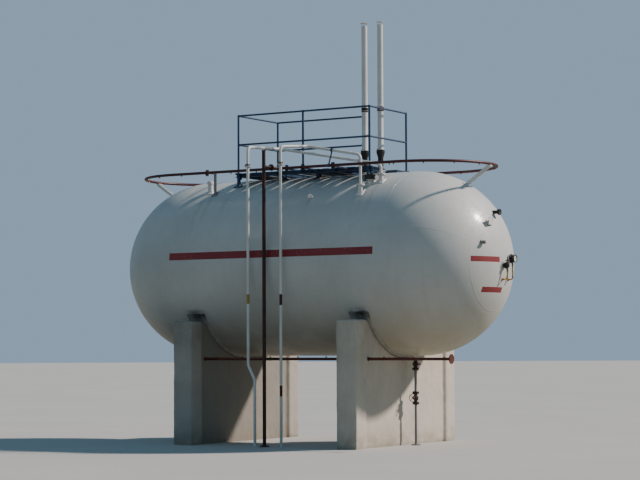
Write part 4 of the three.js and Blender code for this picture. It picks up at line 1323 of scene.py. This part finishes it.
def dial_face(form, centre):
    """A white dial with plain marks and a red needle."""
    def ray(degrees):
        angle = math.radians(degrees)
        out = Vector((0, -math.cos(angle), math.sin(angle)))
        return out, Vector((0, out.z, -out.y))

    form.turned(centre - ALONG * 0.001, ALONG, mm(0, 0, 54.5, 0, 54.5, 1.5, 0, 1.5), 48, 2)
    for i in range(21):
        out, aside = ray(225 - 270 * i / 20)
        long, wide = (0.011, 0.0014) if i % 5 == 0 else (0.006, 0.0007)
        form.hull([centre + ALONG * h + out * (0.050 - long * t) + aside * wide * sign
                   for h in (0, 0.001) for t in (0, 1) for sign in SIDES])
    out, aside = ray(100)
    form.hull([centre + ALONG * h + out * r + aside * w * sign for h in (0.002, 0.0035)
               for r, w in ((-0.014, 0.003), (0.044, 0.0008)) for sign in SIDES], 3)
    form.turned(centre, ALONG, mm(0, 0, 5, 0, 5, 5, 3, 6, 0, 6), 16)


def handwheel(form, centre, axis, radius, rim, paint):
    """A cast handwheel: a round rim, four spokes and a hub."""
    first, second = square_axes(axis)
    reach = radius - rim
    loop = [centre + (first * cos + second * sin) * reach for cos, sin in circle(32, 0.0)]
    form.swept(loop, rim, 10, paint, loop=True, up=axis)
    for cos, sin in circle(4):
        out = first * cos + second * sin
        form.rod(centre - axis * 0.002, centre + out * reach, rim * 0.75, 8, paint)
    hub = [(0, 0), (rim * 2.2, 0), (rim * 1.8, rim * 3), (0, rim * 3)]
    form.turned(centre - axis * rim * 1.4, axis, hub, 20)
    form.nut(centre + axis * rim * 1.5, axis, rim * 1.5, 0)


def build_sample_valve():
    y, rise = -0.042, -0.074
    face, z = head_x(y, rise), AXIS_Z + rise
    x = face + 0.068
    form = Form()
    rows = mm(0, -30, 34, -30, 30, 4, 24, 12, 24, 24, 50, 24, 50, 30.5, 48, 31, 50, 31.5, 50, 38, 30, 40,
              36, 46, 36, 88, 31, 94, 24, 94, 22, 100, 0, 100)
    form.turned((face, y, z), ALONG, rows, 32)
    form.studs((face + 0.031, y, z), ALONG, 0.040, 4, 0.007, -0.007, 0.007)
    stem = mm(0, 0, 26, 20, 26, 44, 18, 48, 14, 56, 8, 58, 8, 84, 0, 84)
    form.turned((x, y, z), UP, stem)
    form.nut((x, y, z + 0.046), UP, 0.018)
    handwheel(form, Vector((x, y, z + 0.081)), UP, 0.040, 0.0045, 2)
    form.turned((x, y, z), DOWN, mm(0, 0, 22, 20, 20, 44, 14, 50, 14, 85.8, 0, 85.8))
    form.nut((x, y, z - 0.052), DOWN, 0.018)
    make("sample_valve", form, BLACK, STEEL, RED)
    small_pipe("sample_pipe", x, y, z - 0.086)


def build_head_nozzle():
    y, rise = 0.06, 0.815
    stub, z = head_x(y, rise), AXIS_Z + rise
    end = stub + 0.11
    form = Form()
    form.rod((stub - 0.12, y, z), (end - 0.008, y, z), 0.030, 28)
    form.flange((end, y, z), -ALONG, 0.052, 0.014, 0.030, 0.014)
    make("head_nozzle", form, BLACK)
    form = Form()
    rows = mm(0, 0, 50, 0, 52, 2, 52, 15.5, 50, 17.7, 24, 17.7, 22, 16.5, 0, 16.5)
    form.turned((end + GAP, y, z), ALONG, rows, 36)
    form.studs((end, y, z), ALONG, 0.041, 4, 0.0075, -0.014, 0.0177)
    make("head_nozzle_cover", form, BLACK, STEEL)


def build_data_plate():
    """A bare plate with a raised rim, on two stubs."""
    y, rise = -0.285, 0.65
    wide, high, thick, rim = 0.075, 0.06, 0.006, 0.006
    x, z = head_x(y, rise) + 0.06, AXIS_Z + rise
    form = Form()
    form.box((x, y - wide, z - high), (x + thick * 0.55, y + wide, z + high), 0.0008)
    for y0, z0, y1, z1 in ((-wide, -high, wide, rim - high), (-wide, high - rim, wide, high),
                           (-wide, rim - high, rim - wide, high - rim),
                           (wide - rim, rim - high, wide, high - rim)):
        form.box((x, y + y0, z + z0), (x + thick, y + y1, z + z1), 0.0006)
    for dy in (-0.06, 0.06):
        for dz in (-0.045, 0.045):
            place = (x + thick * 0.5, y + dy, z + dz)
            form.turned(place, ALONG, mm(0, 0, 5, 0, 4.5, 1.5, 0, 2.5), 16, 1)
    for dy in (-0.04, 0.04):
        root = head_x(y + dy, rise)
        form.rod((root - 0.02, y + dy, z), (x + 0.002, y + dy, z), 0.009, 16)
        form.turned((root - 0.012, y + dy, z), ALONG, mm(0, 0, 17, 0, 9, 20, 0, 20), 20)
    make("data_plate", form, DIAL_WHITE, STEEL)


def build_thermowell():
    y, rise = -0.566, 0.29
    face, z = head_x(y, rise), AXIS_Z + rise
    form = Form()
    for out, rows, sides in (
            (0, mm(0, -40, 40, -40, 36, 6, 26, 18, 26, 40, 20, 42, 0, 42), 32),
            (0.040, mm(0, 0, 33, 0, 34, 2, 34, 20, 29, 23, 0, 23), 6),
            (0.062, mm(0, 0, 16, 0, 16, 6, 12, 8, 0, 8), 24)):
        form.turned((face + out, y, z), ALONG, rows, sides)
    make("thermowell", form, STEEL)


# Drain


def drain_flange(form, z, axis, neck, paint=0):
    form.flange((DRAIN_X, 0, z), axis, DRAIN_FLANGE, FLANGE, neck, 0.014, paint)


def drain_studs(form, z):
    form.studs((DRAIN_X, 0, z), UP, DRAIN_BOLTS, 6, 0.0075)


def valve_body(form, top, bottom):
    """A flanged valve body on the drain line, between two heights."""
    height = top - bottom
    flange, waist, belly = DRAIN_FLANGE, DRAIN_WAIST, DRAIN_BELLY
    rim = flange - 0.002
    rows = [(0, 0), (rim, 0), (flange, 0.002), (flange, 0.014), (rim, 0.016), (waist, 0.018),
            (waist * 0.95, height * 0.24), (belly * 0.9, height * 0.34), (belly, height * 0.42),
            (belly, height * 0.60), (belly * 0.9, height * 0.68), (waist * 0.95, height * 0.78),
            (waist, height - 0.018), (rim, height - 0.016), (flange, height - 0.014),
            (flange, height - 0.002), (rim, height), (0, height)]
    form.turned((DRAIN_X, 0, bottom), UP, rows, 36)


def build_drain():
    x = DRAIN_X
    nozzle_end = BELLY - 0.06
    form = Form()
    form.rod((x, 0, nozzle_end + 0.01), (x, 0, BELLY + 0.03), DRAIN_NECK, 28)
    drain_flange(form, nozzle_end, UP, DRAIN_NECK)
    form.turned((x, 0, BELLY + 0.004), DOWN, mm(0, 0, 52, 0, 42, 12, 28, 16, 0, 16), 32)
    make("drain_nozzle", form, WHITE)

    top = nozzle_end - GAP
    bottom = top - 0.16
    form = Form()
    valve_body(form, top, bottom)
    drain_studs(form, nozzle_end)
    stem_z = top - 0.08
    form.turned((x, 0, stem_z), NEAR, mm(0, 20, 28, 20, 28, 58, 20, 64, 14, 70, 14, 80, 0, 80))
    form.bolts((x, -0.058, stem_z), NEAR, 0.018 * math.sqrt(2), 4, 0.006)
    form.box((x - 0.016, -0.092, stem_z - 0.013), (x + 0.07, -0.080, stem_z + 0.013), 0.002)
    lever = mm(-5.5, -10, 5.5, -10, 6, 0, 5.5, 10, -5.5, 10, -6, 0)
    ends = [(x + 0.03, -0.086, stem_z), (x + 0.15, -0.086, stem_z)]
    form.swept(ends, outline=lever, up=UP, paint=2)
    form.nut((x, -0.092, stem_z), NEAR, 0.012)
    make("drain_valve_upper", form, BLACK, STEEL, RED)

    pipe_top, pipe_end = bottom - GAP, DRAIN_LOWER_TOP + GAP
    form = Form()
    form.rod((x, 0, pipe_end + 0.01), (x, 0, pipe_top - 0.01), DRAIN_PIPE, 28)
    for joint, axis in ((pipe_end, UP), (pipe_top, DOWN)):
        drain_flange(form, joint, axis, DRAIN_PIPE, 2)
        drain_studs(form, joint)
    make("drain_pipe_middle", form, GREY, STEEL, BLACK)

    top = DRAIN_LOWER_TOP
    bottom = top - 0.176
    form = Form()
    valve_body(form, top, bottom)
    stem_z = top - 0.085
    bonnet = mm(0, 20, 34, 20, 34, 54, 26, 58, 20, 64, 16, 84, 9, 86, 9, 104, 0, 104)
    form.turned((x, 0, stem_z), NEAR, bonnet)
    form.bolts((x, -0.054, stem_z), NEAR, 0.027, 6, 0.0055, start=0.0)
    handwheel(form, Vector((x, -0.104, stem_z)), NEAR, 0.070, 0.0055, 2)
    make("drain_valve_lower", form, BLACK, STEEL, RED)

    foot_top = bottom - GAP
    form = Form()
    form.rod((x, 0, 0.01), (x, 0, foot_top - 0.01), DRAIN_PIPE, 28)
    drain_flange(form, foot_top, DOWN, DRAIN_PIPE, 2)
    drain_studs(form, foot_top)
    form.flange((x, 0, 0), UP, GROUND_FLANGE, 0.014, DRAIN_PIPE, 0.016)
    form.bolts((x, 0, 0.014), UP, 0.062, 6, 0.009, start=0.0)
    make("drain_pipe_lower", form, GREY, STEEL, BLACK)


def build_lug(node, side):
    """A lifting lug: a round-topped plate with an eye, square to the shell."""
    x, y = 0.565, 1.08
    slope = side * math.asin(y / RADIUS)
    out = Vector((0, math.sin(slope), math.cos(slope)))
    thick = Vector((0, math.cos(slope), -math.sin(slope)))
    root = Vector((x, side * y, shell_height(y)))
    half, eye, round_top, eye_height = 0.055, 0.018, 0.036, 0.034
    count = 40
    outer, inner = [], []
    for cos, sin in circle(count, 0.0):
        if sin > -0.2:
            along, height = cos * round_top, eye_height + sin * round_top
            along += math.copysign(max(0.0, 0.3 - sin) * 0.02, along)
        else:
            scale = min((eye_height + 0.02) / -sin, half / max(abs(cos), TINY))
            along, height = cos * scale, eye_height + sin * scale
        outer.append((along, height))
        inner.append((cos * eye, eye_height + sin * eye))
    points = [root + ALONG * a + out * h + thick * 0.010 * sign
              for sign in SIDES for loop in (outer, inner) for a, h in loop]
    faces = []
    for k in range(count):
        n = (k + 1) % count
        faces.append((k, n, count + n, count + k))
        faces.append((2 * count + n, 2 * count + k, 3 * count + k, 3 * count + n))
        faces.append((n, k, 2 * count + k, 2 * count + n))
        faces.append((count + k, count + n, 3 * count + n, 3 * count + k))
    form = Form()
    form.add(points, faces)
    for sign in SIDES:
        foot = root + thick * 0.012 * sign + out * 0.001
        form.rod(foot - ALONG * half, foot + ALONG * half, 0.006, 10)
    make(node, form, WHITE)


# Floor, light and camera. The key light stands behind the tank on the right, as the photo's sun did.

EYE = Vector((17.459, -28.593, 1.691))
YAW, PITCH, ROLL = 0.4662, 0.0208, -0.006
PHOTO_FOCAL_PX = 1418.47
FRAME_WIDTH, FRAME_HEIGHT = 640, 480
TANK_MIDDLE_PX = (204.5, 193.0)
ZOOM = 1.36
SENSOR_WIDTH = 36.0
FLOOR_RADIUS = 160
FLOOR_BOUNCE = rgb(0.290, 0.275, 0.225)
KEY_DIRECTION = (0.594, 0.511, 0.621)
KEY_COLOUR = (1.0, 0.885, 0.800)
KEY_STRENGTH = 5.0
KEY_ANGLE = 0.06
SKY_SEEN = rgb(0.269, 0.375, 0.497)
SKY_LIGHT = rgb(0.132, 0.236, 0.328)
GROUND_LIGHT = rgb(0.180, 0.190, 0.175)
HORIZON_BLUR = 0.08


def build_camera():
    """The photograph's own viewpoint, turned and zoomed so that the tank fills the frame."""
    level = Vector((math.cos(YAW), math.sin(YAW), 0))
    flat = math.cos(PITCH)
    ahead = Vector((-math.sin(YAW) * flat, math.cos(YAW) * flat, math.sin(PITCH)))
    above = level.cross(ahead)
    right = level * math.cos(ROLL) + above * math.sin(ROLL)
    top = above * math.cos(ROLL) - level * math.sin(ROLL)
    middle_x, middle_y = TANK_MIDDLE_PX
    aim = ahead * PHOTO_FOCAL_PX + right * (middle_x - FRAME_WIDTH / 2)
    aim = (aim + top * (FRAME_HEIGHT / 2 - middle_y)).normalized()
    right = aim.cross(top).normalized()
    top = right.cross(aim)
    lens = bpy.data.cameras.new("camera")
    lens.sensor_width = SENSOR_WIDTH
    lens.lens = PHOTO_FOCAL_PX * ZOOM * SENSOR_WIDTH / FRAME_WIDTH
    lens.clip_end = 500
    camera = add_object("camera", lens)
    camera.matrix_world = Matrix.Translation(EYE) @ Matrix((right, top, -aim)).transposed().to_4x4()
    bpy.context.scene.camera = camera


def build_floor():
    """A plain pale floor. It throws back only as much light as dusty paving would."""
    f = Finish("studio_floor")
    clouds = f.step(f.noise(0.25, 3), 0.3, 0.7)
    tone = f.blend(clouds, rgb(0.475, 0.468, 0.450), rgb(0.505, 0.498, 0.480))
    seen = f.node("ShaderNodeLightPath").outputs["Is Camera Ray"]
    f.shade = f.blend(seen, FLOOR_BOUNCE, tone)
    shape = bmesh.new()
    bmesh.ops.create_circle(shape, cap_ends=True, segments=96, radius=FLOOR_RADIUS)
    mesh = bpy.data.meshes.new("floor")
    shape.to_mesh(mesh)
    shape.free()
    mesh.materials.append(f.done(0.85))
    floor = add_object("floor", mesh)


def build_light():
    """A soft warm key and a dim sky, which lights from below the horizon too. The camera sees a paler
    sky than the one that lights the tank."""
    lamp = bpy.data.lights.new("key", "SUN")
    lamp.energy = KEY_STRENGTH
    lamp.color = KEY_COLOUR
    lamp.angle = KEY_ANGLE
    key = add_object("key", lamp)
    key.rotation_euler = Vector(KEY_DIRECTION).to_track_quat("Z", "Y").to_euler()
    world = bpy.data.worlds.new("studio")
    bpy.context.scene.world = world
    world.use_nodes = True
    nodes, links = world.node_tree.nodes, world.node_tree.links
    split = nodes.new("ShaderNodeSeparateXYZ")
    links.new(nodes.new("ShaderNodeTexCoord").outputs["Generated"], split.inputs[0])
    height = nodes.new("ShaderNodeMapRange")
    height.inputs["From Min"].default_value = -HORIZON_BLUR
    height.inputs["From Max"].default_value = HORIZON_BLUR
    links.new(split.outputs["Z"], height.inputs["Value"])
    seen = nodes.new("ShaderNodeLightPath").outputs["Is Camera Ray"]
    light, sky = nodes.new("ShaderNodeMix"), nodes.new("ShaderNodeMix")
    for mix, share, low, high in ((light, height.outputs[0], GROUND_LIGHT, SKY_LIGHT),
                                  (sky, seen, SKY_SEEN, SKY_SEEN)):
        mix.data_type = "RGBA"
        links.new(share, mix.inputs["Factor"])
        mix.inputs[6].default_value = low
        mix.inputs[7].default_value = high
    links.new(light.outputs[2], sky.inputs[6])
    links.new(sky.outputs[2], nodes["Background"].inputs[0])


def build_all():
    build_barrel()
    build_head("head_left", -1)
    build_head("head_right", 1)
    build_pier("pier_left", -PIER_X, 1)
    build_pier("pier_right", PIER_X, 2)
    build_saddle_pad("saddle_pad_left", -PIER_X)
    build_saddle_pad("saddle_pad_right", PIER_X)
    build_platform()
    build_deck()
    near, far = -RAIL_LINE, RAIL_LINE
    build_rail("rail_near", [(RAIL_LEFT, near), (MIDDLE_POST_X, near), (RAIL_RIGHT, near)])
    build_rail("rail_left_end", [(RAIL_LEFT, far)], (RAIL_LEFT, near))
    build_rail("rail_far", [(WALKWAY_LEFT_X, far)], (RAIL_LEFT, far))
    build_rail("rail_right_end", [(RAIL_RIGHT, far)], (RAIL_RIGHT, near))
    build_spray_ring()
    build_ring_post("ring_post_near", -1)
    build_ring_post("ring_post_far", 1)
    build_ring_strut("ring_strut_left", -1)
    build_ring_strut("ring_strut_right", 1)
    build_riser()
    build_feeds()
    build_lower_pipe()
    build_nozzle("vapour_nozzle", VAPOUR_NOZZLE)
    build_nozzle("liquid_nozzle", LIQUID_NOZZLE)
    build_nozzle("spare_nozzle", SPARE_NOZZLE, SPARE_RISE)
    build_line("vapour_line", VAPOUR_ROUTE, VAPOUR_NOZZLE, [(2.38, 2.54)], YELLOW)
    build_line("liquid_line", LIQUID_ROUTE, LIQUID_NOZZLE, [(2.35, 2.53), (0.84, 1.02)], MAROON)
    build_spare_cover()
    build_coupling()
    for side, x in (("left", 1.0), ("right", 1.31)):
        build_relief(side, x)
        build_vent(side, x)
    build_gauge()
    build_sample_valve()
    build_head_nozzle()
    build_data_plate()
    build_thermowell()
    build_drain()
    build_lug("lifting_lug_near", -1)
    build_lug("lifting_lug_far", 1)


build_all()
build_floor()
build_light()
build_camera()
